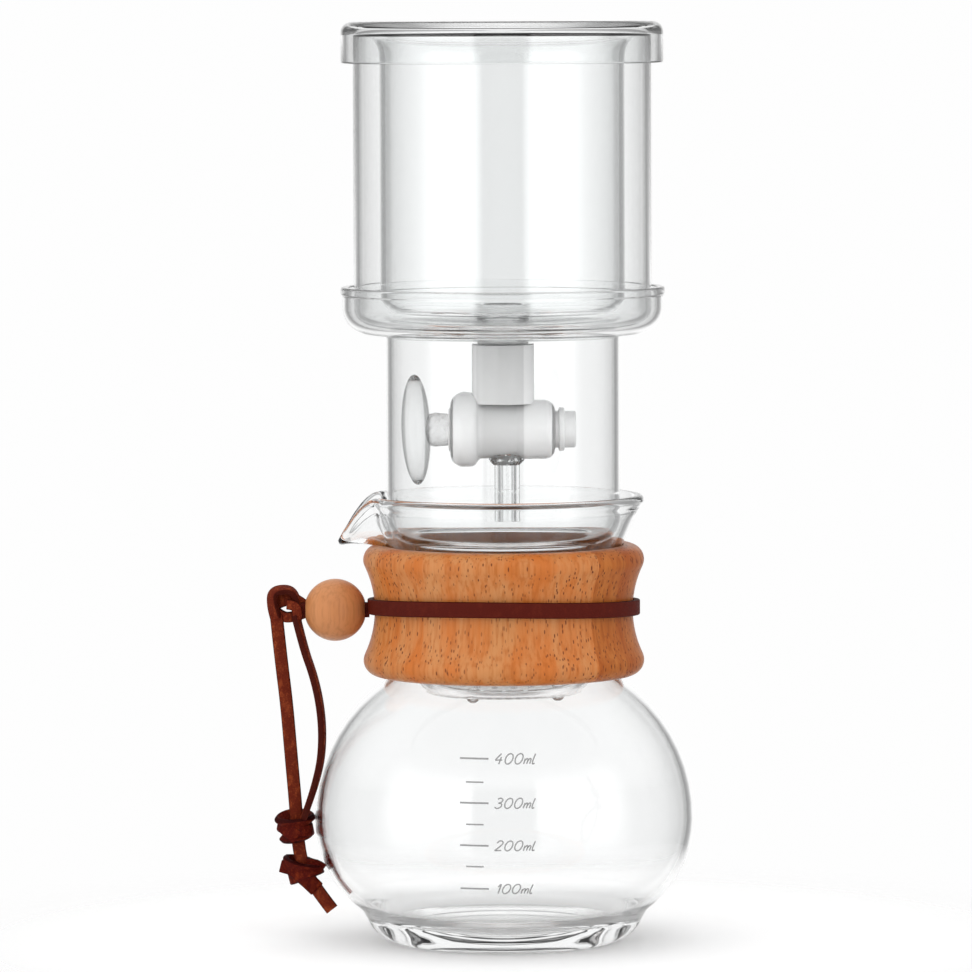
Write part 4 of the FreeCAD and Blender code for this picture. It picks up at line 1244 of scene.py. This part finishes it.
@dataclass
class WaterVessel:
    """Double-walled vessel with its ground outlet."""

    up: float = 173.95
    radius: float = 42.0
    wall: float = 1.6
    height: float = 83.55
    jacket: float = 5.8
    jacket_floor: float = 1.9
    reach: float = 6.0
    outlet: float = 7.3
    bore: float = 5.5
    drop: float = 16.6

    def build(self, glass: bpy.types.Material, frosted: bpy.types.Material) -> None:
        """Make the glass: its outside with the ground cone and, inside it, the sealed jacket."""
        wall, seam = self.wall, self.height - self.wall
        shell = self.radius - wall - self.jacket
        bend_up = seam - self.reach
        floor = wall + self.jacket_floor
        outside = (
            Contour()
            .line(self.bore, -self.drop, 0.4)
            .line(self.outlet - 0.5, -self.drop, 0.4)
            .line(self.outlet, 0.0, 1.2)
            .line(self.radius, 0.0, 5.0)
            .line(self.radius, self.height, 1.2)
            .left_arc(shell + self.reach, self.height, self.reach + wall)
            .line(shell - wall, bend_up)
            .line(shell - wall, floor + wall, 4.9)
            .line(self.bore, floor + wall, 1.2)
        )
        jacket = (
            Contour()
            .line(self.outlet, wall, 0.8)
            .line(self.radius - wall, wall, 3.4)
            .line(self.radius - wall, seam, 0.15)
            .left_arc(shell + self.reach, seam, self.reach)
            .line(shell, bend_up)
            .line(shell, floor, 6.5)
            .line(self.outlet, floor, 0.8)
        )
        skin = Skin()
        skin.turned(outside.points())
        skin.turned(jacket.points()[::-1])
        piece = skin.make("vessel_glass", (0.0, 0.0, self.up))
        nodes = ["vessel_outer_wall", "vessel_inner_wall", "vessel_outlet_cone"]
        dress(piece, glass, Body.VESSEL, nodes)
        ground_top = self.up - 1.5
        ground_radius = self.outlet - 0.9
        grind(piece, frosted, lambda at: at.z < ground_top and math.hypot(at.x, at.y) > ground_radius)


@dataclass
class VesselLid:
    """Glass cap that hangs over the vessel's rim."""

    up: float = 257.8
    radius: float = 45.4
    wall: float = 1.5
    top: float = 2.2
    depth: float = 11.8
    curve: float = 3.2

    def build(self, glass: bpy.types.Material) -> None:
        """Make the glass."""
        inner = self.radius - self.wall
        skirt = self.top - self.depth
        outline = (
            Contour()
            .line(0.0, 0.0)
            .line(inner, 0.0, self.curve - self.wall)
            .line(inner, skirt, 0.6)
            .line(self.radius, skirt, 0.6)
            .line(self.radius, self.top, self.curve)
            .line(0.0, self.top)
        )
        skin = Skin()
        skin.turned(outline.points())
        dress(skin.make("lid_glass", (0.0, 0.0, self.up)), glass, Body.LID, ["lid"])


# The tap


@dataclass
class Tap:
    """Socket and barrel with ground bores, and the clear drip tube."""

    up: float = 144.95
    socket_radius: float = 8.8
    socket_up: float = 24.3
    foot_up: float = 7.4
    foot_rim: float = 1.2
    ground_up: float = 19.9
    mouth: float = 7.2
    barrel_ground: tuple[float, float] = (-14.2, 13.8)
    barrel_wobble: float = 0.012
    tube_out: float = 1.1
    tube_radius: float = 3.6
    tube_bore: float = 1.9
    tube_low: float = -24.2
    tube_high: float = -7.0
    weld_wobble: float = 0.09

    def build(self, glass: bpy.types.Material, frosted: bpy.types.Material) -> None:
        """Make the socket, the barrel and the tube under it."""
        socket = (
            Contour()
            .line(self.mouth - 0.35, self.foot_up)
            .line(self.socket_radius, self.foot_up)
            .line(self.socket_radius, self.socket_up, 0.3)
            .line(self.mouth, self.socket_up, 0.3)
            .line(self.mouth - 0.05, self.ground_up)
        )
        skin = Skin()
        skin.turned(socket.points())
        piece = skin.make("tap_socket", (0.0, 0.0, self.up))
        dress(piece, glass, Body.TAP, ["valve_socket"])
        ground_low, ground_high = self.up + self.foot_up + self.foot_rim, self.up + self.ground_up
        grind(piece, frosted, lambda at: ground_low < at.z < ground_high)
        self.make_barrel(glass, frosted)
        self.make_tube(glass)

    def make_tube(self, glass: bpy.types.Material) -> None:
        """Make the drip tube and the uneven weld round its top."""
        drip = (
            Contour()
            .line(self.tube_bore, self.tube_low, 0.3)
            .line(self.tube_radius, self.tube_low, 0.6)
            .line(self.tube_radius, self.tube_high)
            .line(self.tube_bore, self.tube_high)
        )
        tube = Skin()
        tube.turned(drip.points(), columns=SMALL_COLUMNS)
        inside = self.tube_radius + 0.05
        weld = Contour().line(inside, -10.0).line(4.9, -8.9, 0.7).line(5.4, -7.2).line(inside, -6.6)
        tube.turned(weld.points(), columns=SMALL_COLUMNS, wobble=self.weld_wobble)
        piece = tube.make("tap_drip_tube", (self.tube_out, 0.0, self.up))
        dress(piece, glass, Body.TAP, ["drip_tube"])

    def make_barrel(self, glass: bpy.types.Material, frosted: bpy.types.Material) -> None:
        """Make the barrel, ground but for the clear rims of its ends."""
        barrel = (
            Contour()
            .line(6.15, -15.0, 0.3)
            .line(10.6, -15.0, 3.9)
            .line(10.6, -8.2, 2.6)
            .line(8.3, -6.8, 1.3)
            .line(7.9, 3.8, 1.4)
            .line(8.4, 5.8, 1.5)
            .line(8.3, 14.7, 3.0)
            .line(5.35, 14.7, 0.3)
        )
        skin = Skin()
        skin.turned(barrel.points(), Axis.ALONG, wobble=self.barrel_wobble)
        piece = skin.make("tap_barrel", (0.0, 0.0, self.up))
        dress(piece, glass, Body.TAP, ["valve_barrel"])
        low, high = self.barrel_ground
        grind(piece, frosted, lambda at: low < at.x < high)


@dataclass
class TapPlug:
    """Ground plug with its oval handle and the ring at its free end."""

    up: float = 144.95
    handle_out: float = 24.6
    handle_half: tuple[float, float, float] = (4.2, 7.2, 15.6)
    handle_lean: float = math.radians(1.8)
    handle_rows: int = 48
    stem_wobble: float = 0.02
    ring_wobble: float = 0.012

    def build(self, frosted: bpy.types.Material, crazed: bpy.types.Material) -> None:
        """Make the plug, its crazed stem, the handle and the ring."""
        plug = (
            Contour()
            .line(0.0, -15.4)
            .line(6.05, -15.4, 0.3)
            .line(5.25, 15.3, 0.2)
            .line(5.2, 20.5, 0.6)
            .line(0.0, 20.5)
        )
        body = Skin()
        body.turned(plug.points(), Axis.ALONG, columns=PLUG_COLUMNS)
        piece = body.make("tap_plug_glass", (0.0, 0.0, self.up))
        dress(piece, frosted, Body.PLUG, ["valve_plug"])
        neck = (
            Contour()
            .line(0.0, -22.6)
            .line(4.0, -22.6, 1.2)
            .line(4.8, -19.4, 1.5)
            .line(4.5, -15.5)
            .line(0.0, -15.5)
        )
        stem = Skin()
        stem.turned(neck.points(), Axis.ALONG, columns=PLUG_COLUMNS, wobble=self.stem_wobble)
        dress(stem.make("tap_stem", (0.0, 0.0, self.up)), crazed, Body.PLUG, ["valve_plug"])
        ring = (
            Contour()
            .line(5.3, 15.6)
            .line(6.2, 15.6, 0.5)
            .line(6.2, 17.3, 0.5)
            .line(5.3, 17.3)
        )
        band = Skin()
        band.turned(ring.points(), Axis.ALONG, columns=SMALL_COLUMNS, wobble=self.ring_wobble)
        piece = band.make("tap_ring", (0.0, 0.0, self.up))
        dress(piece, frosted, Body.PLUG, ["plug_retaining_ring"])
        thick, _, tall = self.handle_half
        self.make_handle(PressedGlass((-self.handle_out, self.up), (thick, tall), self.handle_lean).make())

    def make_handle(self, glass: bpy.types.Material) -> None:
        """Make the pressed oval handle, which leans a little."""
        thick, wide, tall = self.handle_half
        turns = even_angles(SMALL_COLUMNS)
        rows = []
        for step in range(self.handle_rows + 1):
            tilt = math.pi * step / self.handle_rows - math.pi / 2.0
            out, rise = math.cos(tilt), tall * math.sin(tilt)
            along = rise * -math.tan(self.handle_lean) + thick * out * np.cos(turns)
            height = np.full(SMALL_COLUMNS, rise)
            rows.append(np.stack((along, wide * out * np.sin(turns), height), axis=1))
        oval = Skin()
        oval.grid(np.array(rows))
        piece = oval.make("tap_handle", (-self.handle_out, 0.0, self.up))
        dress(piece, glass, Body.PLUG, ["plug_handle"])


@dataclass
class PaperFilter:
    """Fine filter disc on the plate."""

    radius: float = 20.4
    low: float = 71.95
    high: float = 72.55

    def build(self, weave: bpy.types.Material) -> None:
        """Make the disc."""
        outline = (
            Contour()
            .line(0.0, self.low).line(self.radius, self.low, 0.15)
            .line(self.radius, self.high, 0.15).line(0.0, self.high)
        )
        skin = Skin()
        skin.turned(outline.points())
        dress(skin.make("filter_weave_disc"), weave, Body.FILTER, ["filter_disc"])


# The lace tie


@dataclass(frozen=True)
class Strap:
    """One strip of lace in a knot, in millimetres, laid along its route."""

    route: tuple[tuple[float, float, float], ...]
    wide: tuple[float, float, float] = (0.0, 0.0, 1.0)
    width: float = 3.7
    thickness: float = 1.7
    twist: float = 0.0


@dataclass(frozen=True)
class Coil:
    """One tight turn of the lace round a strand, closed like a ring, in millimetres."""

    centre: tuple[float, float, float]
    half: tuple[float, float]
    rise: tuple[float, float]
    width: float
    lean: float = 0.0
    thickness: float = 1.7

    def rows(self) -> tuple[np.ndarray, np.ndarray]:
        """Give the points round it, section by section, and which of them lie on its cut edges."""
        section, edges = strip_section(self.width, self.thickness)
        rows = []
        for turn in even_angles(48):
            out = np.array((math.cos(turn), math.sin(turn), 0.0))
            lean = self.lean * (1.0 + 0.3 * math.sin(2.0 * turn + 1.0))
            wide = out * math.sin(lean) + UPRIGHT * math.cos(lean)
            face = out * math.cos(lean) - UPRIGHT * math.sin(lean)
            middle = np.array(self.centre) + out * np.array((*self.half, 0.0))
            middle[2] += self.rise[0] * out[0] + self.rise[1] * out[1]
            rows.append(middle + section[:, :1] * wide + section[:, 1:] * face)
        return np.array(rows), edges


def wrap(
    centre: tuple[float, float, float], half: tuple[float, float], rise: tuple[float, float], width: float
) -> Strap:
    """Wind a strip once round a strand.

    Args:
        centre: The middle of the turn.
        half: How far its middle line stands from there, along X and Y.
        rise: How much higher it lies on its right and at its rear.
        width: The strip's width.

    Returns:
        The strip, with its ends overlapping at the rear.
    """
    # The spline cuts inside its control points, so these stand a little further out
    outside = 1.08
    route = []
    for step in range(11):
        turn = math.radians(65.0 + 45.0 * step)
        out, back = math.cos(turn), math.sin(turn)
        height = centre[2] + rise[0] * out + rise[1] * back
        route.append((centre[0] + outside * half[0] * out, centre[1] + outside * half[1] * back, height))
    return Strap(tuple(route), width=width)


BEAD_KNOT = (
    Strap(((-58.3, -0.4, 94.6), (-58.3, -0.9, 99.8), (-65.4, -1.1, 99.8), (-65.5, -1.0, 95.0),
           (-64.4, -0.7, 91.6)), wide=(0.0, 1.0, 0.0), width=3.4, thickness=1.8, twist=-0.8),
    Strap(((-56.2, 0.5, 94.6), (-58.6, 0.3, 96.7), (-61.5, 0.5, 97.3), (-64.2, 1.5, 95.9)), width=3.8),
    Strap(((-64.4, 0.6, 93.4), (-62.6, -0.3, 92.0), (-59.8, -0.5, 91.9), (-56.6, 0.5, 93.0)), width=3.0),
    Strap(((-61.2, -1.8, 95.7), (-58.9, -2.2, 95.5), (-58.2, -2.1, 93.6), (-58.5, -1.4, 91.4)), width=2.9),
)
SLIP_KNOT = (
    Coil((-59.3, -1.1, 34.3), (4.1, 2.9), (0.3, 1.2), 3.6, 0.75),
    Coil((-59.2, -1.1, 32.4), (4.3, 3.0), (-0.6, 0.8), 3.4, -0.15),
    Coil((-59.0, -1.1, 30.2), (3.3, 2.4), (0.7, 0.5), 3.2, -0.6),
    Strap(((-62.4, -2.6, 32.8), (-61.3, -4.0, 31.8), (-59.9, -4.5, 30.7), (-58.6, -4.5, 29.7)),
          wide=(0.61, 0.0, 0.79), width=4.2, thickness=1.4),
)
END_KNOT = (
    wrap((-57.7, -1.3, 21.0), (4.2, 2.7), (-1.0, 0.8), 4.4),
    wrap((-56.5, -1.3, 19.5), (3.9, 2.6), (1.6, -0.4), 4.2),
    Strap(((-58.8, -2.4, 20.2), (-61.2, -2.6, 20.8), (-63.2, -1.6, 21.3)), wide=(0.25, 0.0, 1.0), width=3.6),
    Strap(((-56.2, -2.4, 21.8), (-53.2, -2.6, 21.6), (-52.0, -1.4, 20.3)), wide=(0.3, 0.0, 1.0), width=3.8),
    Strap(((-60.2, -2.9, 21.0), (-57.4, -4.2, 19.0), (-55.0, -3.8, 16.8), (-53.4, -2.4, 15.0)),
          wide=(0.7, 0.0, 0.7), width=4.6),
)


@dataclass
class LaceTie:
    """Band round the collar, bead and knots."""

    waist_up: float = 93.95
    band_radius: float = 37.75
    band_width: float = 4.4
    band_thickness: float = 1.6
    band_lift: float = 0.85
    wave: float = 0.14
    droop: float = 0.3
    tilt: float = math.radians(2.7)
    strand_width: float = 4.2
    strand_thickness: float = 1.35
    strand_gap: float = 1.4
    strand_start: float = -38.0
    strand_length: float = 20.0
    bead_out: float = 47.65
    bead_radius: float = 8.8
    bead_hole: float = 2.7

    def build(self, band: bpy.types.Material, wood: bpy.types.Material) -> None:
        """Make the band, the pair of strands through the bead and the bead.

        Args:
            band: The band's leather.
            wood: The bead's wood.
        """
        self.make_band(band)
        for name, side in (("bead_lace_front", -0.5), ("bead_lace_rear", 0.5)):
            line = np.array([
                (self.strand_start - self.strand_length * share, side * self.strand_gap, self.waist_up)
                for share in np.linspace(0.0, 1.0, 11)
            ])
            strip = leather_strip(line, UPRIGHT, self.strand_width, self.strand_thickness)
            dress(strip.make(name), band, Body.CARAFE, ["lace_through_bead"])
        face = math.sqrt(self.bead_radius ** 2 - self.bead_hole ** 2)
        ball = Contour().left_arc(self.bead_hole, -face, self.bead_radius).line(self.bead_hole, face)
        skin = Skin()
        skin.turned(ball.points(), Axis.ALONG, columns=PLUG_COLUMNS)
        bead = skin.make("bead", (-self.bead_out, 0.0, self.waist_up))
        dress(bead, wood, Body.CARAFE, ["wooden_bead"])

    def make_band(self, band: bpy.types.Material) -> None:
        """Make the band round the collar's waist, a little askew and wavy."""
        section, edges = strip_section(self.band_width, self.band_thickness)
        rows = []
        for turn in even_angles(COLUMNS):
            out = np.array((math.cos(turn), math.sin(turn), 0.0))
            lift = self.wave * math.sin(3.0 * turn + 0.6) - self.droop * math.cos(turn - 0.4)
            points = out * (self.band_radius + section[:, 1:]) + UPRIGHT * (section[:, :1] + lift)
            points[:, 2] -= points[:, 1] * math.tan(self.tilt)
            rows.append(points)
        ribbon = Skin()
        ribbon.grid(np.array(rows), edges, closed=True)
        piece = ribbon.make("collar_lace", (0.0, 0.0, self.waist_up + self.band_lift))
        dress(piece, band, Body.CARAFE, ["lace_band"])

    def knot(
        self, name: str, node: str, straps: Sequence[Strap | Coil], lace: bpy.types.Material
    ) -> bpy.types.Object:
        """Make a knot of several strips.

        Args:
            name: The piece's name.
            node: The node that it stands for.
            straps: Its strips.
            lace: The leather.

        Returns:
            The knot.
        """
        skin = Skin()
        for strap in straps:
            if isinstance(strap, Coil):
                skin.grid(*strap.rows(), closed=True)
            else:
                line = spline_line(strap.route)
                leather_strip(line, strap.wide, strap.width, strap.thickness, strap.twist, skin)
        piece = skin.make(name)
        dress(piece, lace, Body.CARAFE, [node])
        return piece


# Printed marks


@dataclass
class VolumeMarks:
    """Volume lines and plain figures, printed on the front of the belly."""

    carafe: Carafe
    long_heights: tuple[float, ...] = (20.7, 33.1, 44.8, 56.7)
    short_heights: tuple[float, ...] = (27.1, 38.9, 50.4)
    long_line: tuple[float, float] = (-12.5, -4.5)
    short_line: tuple[float, float] = (-10.8, -5.9)
    long_width: float = 0.5
    short_width: float = 0.42
    line_fall: float = 0.012
    figures_start: float = -3.0
    figure_height: float = 2.8
    figure_width: float = 0.38
    slant: float = 0.35
    lift: float = 0.03

    def on_glass(self, across: float, height: float) -> tuple[float, float, float]:
        """Give the point of the glass at a distance across the front and a height."""
        radius = self.carafe.outer_radius(height) + self.lift
        turn = -math.pi / 2.0 + across / radius
        return (radius * math.cos(turn), radius * math.sin(turn), height)

    def stroke(self, skin: Skin, points: Sequence[tuple[float, float]], width: float) -> None:
        """Lay one stroke of ink on the glass.

        Args:
            skin: What it is added to.
            points: Its middle line, as distance across and height.
            width: Its width.
        """
        line = np.asarray(points, float)
        along = unit(np.gradient(line, axis=0))
        side = np.stack((-along[:, 1], along[:, 0]), axis=1) * width / 2.0
        left = [self.on_glass(*point) for point in line + side]
        right = [self.on_glass(*point) for point in line - side]
        first = skin.add_points(np.array(left + right))
        count = len(line)
        for step in range(count - 1):
            here = first + step
            skin.cap((here, here + count, here + count + 1, here + 1))

    def build(self, ink: bpy.types.Material) -> None:
        """Print the lines and the figures."""
        skin = Skin()
        for heights, (start, end), width in (
            (self.long_heights, self.long_line, self.long_width),
            (self.short_heights, self.short_line, self.short_width),
        ):
            for height in heights:
                places = np.linspace(start, end, 12)
                line = [(across, height - self.line_fall * (across - start)) for across in places]
                self.stroke(skin, line, width)
        for count, height in enumerate(self.long_heights, start=1):
            self.write(skin, f"{count}00ml", self.figures_start, height - self.figure_height / 2.0 - 0.1)
        dress(skin.make("volume_marks"), ink, Body.CARAFE, [])

    def write(self, skin: Skin, text: str, start: float, base: float) -> None:
        """Write plain rounded figures, slanting to the right."""
        at = start
        for sign in text:
            strokes, advance = FIGURES[sign]
            for points in strokes:
                placed = []
                for across, height in smooth_stroke(points):
                    up = height * self.figure_height
                    placed.append((at + across * self.figure_height + up * self.slant, base + up))
                self.stroke(skin, placed, self.figure_width)
            at += advance * self.figure_height


def ring_stroke(width: float) -> list[tuple[float, float]]:
    """Give the points of a plain round nought."""
    turns = np.linspace(0.0, FULL_TURN, 9)
    return [(width / 2.0 * (1.0 + math.sin(turn)), 0.5 + 0.5 * math.cos(turn)) for turn in turns]


def smooth_stroke(points: Sequence[tuple[float, float]], parts: int = 5) -> list[tuple[float, float]]:
    """Run smoothly through the points of a stroke."""
    line = np.asarray(points, float)
    if len(line) < 3:
        return [tuple(point) for point in np.linspace(line[0], line[-1], 4)]
    slopes = np.gradient(line, axis=0)
    found = []
    for index in range(len(line) - 1):
        for step in range(parts):
            share = step / parts
            square, cube = share ** 2, share ** 3
            found.append(tuple(
                (2 * cube - 3 * square + 1) * line[index] + (cube - 2 * square + share) * slopes[index]
                + (3 * square - 2 * cube) * line[index + 1] + (cube - square) * slopes[index + 1]
            ))
    found.append(tuple(line[-1]))
    return found


# Each figure: its strokes in a box one high, and how far on the next one starts
FIGURES = {
    "0": ([ring_stroke(0.72)], 0.98),
    "1": ([[(0.12, 0.72), (0.36, 1.0)], [(0.36, 1.0), (0.36, 0.0)]], 0.68),
    "2": ([[(0.02, 0.78), (0.2, 0.98), (0.5, 0.95), (0.6, 0.72), (0.38, 0.38), (0.02, 0.02)],
           [(0.02, 0.02), (0.68, 0.04)]], 0.92),
    "3": ([[(0.08, 0.9), (0.35, 1.0), (0.6, 0.82), (0.48, 0.58), (0.25, 0.52)],
           [(0.25, 0.52), (0.58, 0.44), (0.62, 0.18), (0.32, 0.0), (0.0, 0.12)]], 0.92),
    "4": ([[(0.42, 1.0), (0.0, 0.38)], [(0.0, 0.38), (0.7, 0.38)], [(0.52, 0.68), (0.48, 0.0)]], 0.98),
    "m": ([[(0.0, 0.5), (0.0, 0.0)], [(0.0, 0.28), (0.16, 0.5), (0.3, 0.42), (0.3, 0.0)],
           [(0.3, 0.28), (0.46, 0.5), (0.6, 0.42), (0.6, 0.0)]], 0.8),
    "l": ([[(0.08, 0.95), (0.02, 0.3), (0.1, 0.0), (0.28, 0.06)]], 0.4),
}


# Studio


@dataclass
class Studio:
    """Camera, pale floor and the soft light round the tower."""

    target: tuple[float, float, float] = (-0.0049, 0.0, 0.1289)
    distance: float = 2.01
    camera_up: float = 0.2658
    lens: float = 264.1
    sensor: float = 36.0
    roll: float = math.radians(-0.2)
    floor_radius: float = 0.2
    floor_sides: int = 96
    floor_pale: tuple[float, float, float] = (0.955, 0.955, 0.955)
    floor_paler: tuple[float, float, float] = (0.965, 0.965, 0.965)

    # What the camera sees behind everything, and how much more light reaches what stands in glass
    backdrop: float = 0.99
    glow_inside: float = 0.55

    # What glass mirrors
    dark_side: float = 0.34
    panel: float = 0.96
    camera_shade: float = 0.16
    rear_panel: float = 0.66
    steep_light: float = 0.28
    ceiling_shade: float = 0.3

    # What is seen through glass
    wall: float = 1.03
    gap_shade: float = 0.5
    gap_count: float = 8.0

    # What falls on wood, leather and ground glass
    fill: float = 0.52
    sky: float = 0.62
    front: float = 0.4
    left: float = 0.16

    def set_camera(self) -> None:
        """Stand the camera at the photograph's viewing angle."""
        lens = bpy.data.cameras.new("camera")
        lens.lens = self.lens
        lens.sensor_width = self.sensor
        lens.clip_start = 0.05
        lens.clip_end = 60.0
        camera = bpy.data.objects.new("camera", lens)
        bpy.context.scene.collection.objects.link(camera)
        place = Vector((self.target[0], -self.distance, self.camera_up))
        ahead = Vector(self.target) - place
        turn = ahead.to_track_quat("-Z", "Y").to_matrix() @ Euler((0.0, 0.0, self.roll)).to_matrix()
        camera.location = place
        camera.rotation_euler = turn.to_euler()
        bpy.context.scene.camera = camera

    def lay_floor(self) -> None:
        """Lay a round pale floor that fades into the backdrop."""
        skin = Skin()
        radii = np.linspace(0.0, self.floor_radius / MM, 6)
        skin.grid(spun(np.column_stack((radii, np.zeros(len(radii)))), even_angles(self.floor_sides)))
        floor = skin.make("floor", (0.0, 0.0, -0.05))
        material, recipe = new_material("pale_floor")
        across, beside, _ = recipe.position(1.0)
        out = (across * across + beside * beside) ** 0.5
        grain = recipe.noise(recipe.place((30.0, 30.0, 30.0)))
        finish_material(recipe, {
            "Base Color": recipe.blend(grain, rgba(self.floor_pale), rgba(self.floor_paler)),
            "Roughness": 0.8,
            "Specular IOR Level": 0.0,
            "Alpha": out.step(self.floor_radius * 0.95, self.floor_radius * 0.3),
        })
        floor.data.materials.append(material)

    def light(self) -> None:
        """Surround the tower with soft light, and with the panels and dark gaps that glass shows."""
        world = bpy.data.worlds.new("studio")
        bpy.context.scene.world = world
        world.use_nodes = True
        recipe = Recipe(world.node_tree)
        way = recipe.node("ShaderNodeTexCoord", {}, {}).outputs["Generated"]
        parts = recipe.node("ShaderNodeSeparateXYZ", {}, {0: way})
        across, along, up = (recipe.value(parts, name) for name in ("X", "Y", "Z"))
        ray = recipe.node("ShaderNodeLightPath", {}, {})
        scattered = recipe.value(ray, "Diffuse Depth").step(0.4, 0.6)
        mirrored = recipe.value(ray, "Glossy Depth").step(0.4, 0.6)
        passed = recipe.value(ray, "Transmission Depth").step(0.4, 0.6)
        seen = passed * self.through(across, along, up) + (1.0 - passed) * self.backdrop
        glassy = mirrored * self.reflected(across, along, up) + (1.0 - mirrored) * seen
        inside = 1.0 + passed * (up * up).step(0.6, 0.2) * self.glow_inside
        strength = scattered * self.soft(across, along, up) * inside + (1.0 - scattered) * glassy
        white = rgba((1.0, 1.0, 1.0))
        shade = recipe.node("ShaderNodeBackground", {}, {"Color": white, "Strength": strength})
        recipe.node("ShaderNodeOutputWorld", {}, {"Surface": shade.outputs[0]})
        bpy.context.scene.view_settings.view_transform = "Standard"
        paths = bpy.context.scene.cycles
        paths.diffuse_bounces = 10
        paths.glossy_bounces = 20
        paths.transmission_bounces = 24
        paths.max_bounces = 32

    def reflected(self, across: Value, along: Value, up: Value) -> Value:
        """Give the light that glass mirrors: two panels at the front and dark sides.

        Args:
            across: The direction's part along X.
            along: Its part along Y.
            up: Its part along Z.

        Returns:
            The strength of the light from there.
        """
        front = (0.0 - along) / (across * across + along * along) ** 0.5
        panels = front.step(0.0, 0.35) * front.step(0.95, 0.92) * (up * up).step(0.4, 0.15)
        camera_side = front.step(0.92, 0.95)
        back = front.step(-0.93, -0.97)
        steep = (up * up).step(0.15, 0.5)
        level = self.dark_side + panels * self.panel - camera_side * self.camera_shade
        level = level + back * self.rear_panel + steep * self.steep_light
        return level * (1.0 - up.step(0.25, 0.75) * self.ceiling_shade)

    def through(self, across: Value, along: Value, up: Value) -> Value:
        """Give the light that is seen through glass: white walls with soft grey gaps.

        Args:
            across: The direction's part along X.
            along: Its part along Y.
            up: Its part along Z.

        Returns:
            The strength of the light from there.
        """
        upright = (up * up).step(0.4, 0.1)
        gaps = (along.angle_to(across) * self.gap_count).cosine().step(0.0, -0.7) * upright
        return (self.wall - gaps * self.gap_shade) * (1.0 - up.step(0.25, 0.75) * self.ceiling_shade)

    def soft(self, across: Value, along: Value, up: Value) -> Value:
        """Give the light that falls on what isn't clear: wide, and stronger from above and the front.

        Args:
            across: The direction's part along X.
            along: Its part along Y.
            up: Its part along Z.

        Returns:
            The strength of the light from there.
        """
        sky = up.step(-0.3, 0.9) * self.sky
        front = along.step(0.5, -0.9) * self.front
        left = across.step(0.6, -0.9) * self.left
        return sky + front + left + self.fill


LONG_ROUTE = (
    (-0.0643, -0.0005, 0.0924), (-0.0631, -0.0008, 0.0805), (-0.0615, -0.0012, 0.0675),
    (-0.0603, -0.0014, 0.0525), (-0.0591, -0.0012, 0.0385), (-0.0586, -0.0010, 0.0286),
    (-0.0572, -0.0012, 0.0208), (-0.0532, -0.0018, 0.0145), (-0.0489, -0.0022, 0.0089),
)
SHORT_ROUTE = (
    (-0.0588, -0.0008, 0.0924), (-0.0566, -0.0030, 0.0835), (-0.0538, -0.0056, 0.0760),
    (-0.0520, -0.0076, 0.0685), (-0.0512, -0.0090, 0.0605), (-0.0516, -0.0096, 0.0525),
    (-0.0533, -0.0082, 0.0455), (-0.0554, -0.0050, 0.0390), (-0.0574, -0.0018, 0.0334),
)


LACE_HIDE = Hide("lace_hide", (0.12, 0.013, 0.004), (0.28, 0.055, 0.016), (0.045, 0.004, 0.002))
# The lace's own leather, painted darker for the slip and end knots: painted shade among their tight wraps
SHADED_KNOT_HIDE = Hide("knot_hide_painted_shade", (0.07, 0.003, 0.001), (0.19, 0.025, 0.005), (0.028, 0.001, 0.001))
BAND_HIDE = Hide(
    "band_hide", (0.085, 0.008, 0.004), (0.11, 0.013, 0.006), (0.035, 0.003, 0.002), roughness=0.5, specks=0.2
)
FRONT_TIMBER = Timber("front_timber", (0.58, 0.25, 0.085), (0.56, 0.135, 0.01), (0.11, 0.018, 0.003))
REAR_TIMBER = Timber("rear_timber", (0.5, 0.16, 0.028), (0.37, 0.075, 0.003), (0.085, 0.012, 0.002), seed=3.0)
BEAD_TIMBER = Timber(
    "bead_timber", (0.61, 0.26, 0.105), (0.55, 0.215, 0.075), (0.4, 0.14, 0.05),
    pore_count=0.1, pore_size=0.14, seed=5.0,
)


def main() -> None:
    """Build the studio and dress every part of the tower."""
    logging.basicConfig(level=logging.INFO, format="%(message)s")
    studio = Studio()
    studio.set_camera()
    lace, tight = LACE_HIDE.make(), SHADED_KNOT_HIDE.make()
    long_end = HangingEnd("long_end", "lace_long", LONG_ROUTE, (1.0, 0.0, 0.0), 0.0865)
    short_end = HangingEnd("short_end", "lace_short", SHORT_ROUTE, (0.25, 0.97, 0.0), 0.0635, twist=-0.25)
    long_strip, short_strip = long_end.build(lace), short_end.build(lace)
    tie = LaceTie()
    bead_knot = tie.knot("bead_curl", "bead_knot", BEAD_KNOT, lace)
    slip_knot = tie.knot("slip_lace", "slip_knot", SLIP_KNOT, tight)
    end_knot = tie.knot("end_lace", "end_knot", END_KNOT, tight)
    long_end.declare()
    short_end.declare()
    glass = ClearGlass().make()
    frosted = FrostedGlass().make()
    carafe = Carafe()
    carafe.build(glass)
    VolumeMarks(carafe).build(PrintedInk().make())
    CoffeeChamber().build(glass)
    PaperFilter().build(FilterWeave().make())
    WaterVessel().build(glass, frosted)
    VesselLid().build(glass)
    Tap().build(glass, frosted)
    TapPlug().build(frosted, CrazedGlass().make())
    tie.build(BAND_HIDE.make(), BEAD_TIMBER.make())
    for node, timber in (("collar_half_front", FRONT_TIMBER), ("collar_half_rear", REAR_TIMBER)):
        made = timber.make()
        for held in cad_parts[node].material_slots:
            held.material = made
    studio.lay_floor()
    studio.light()


if __name__ == "__main__":
    main()
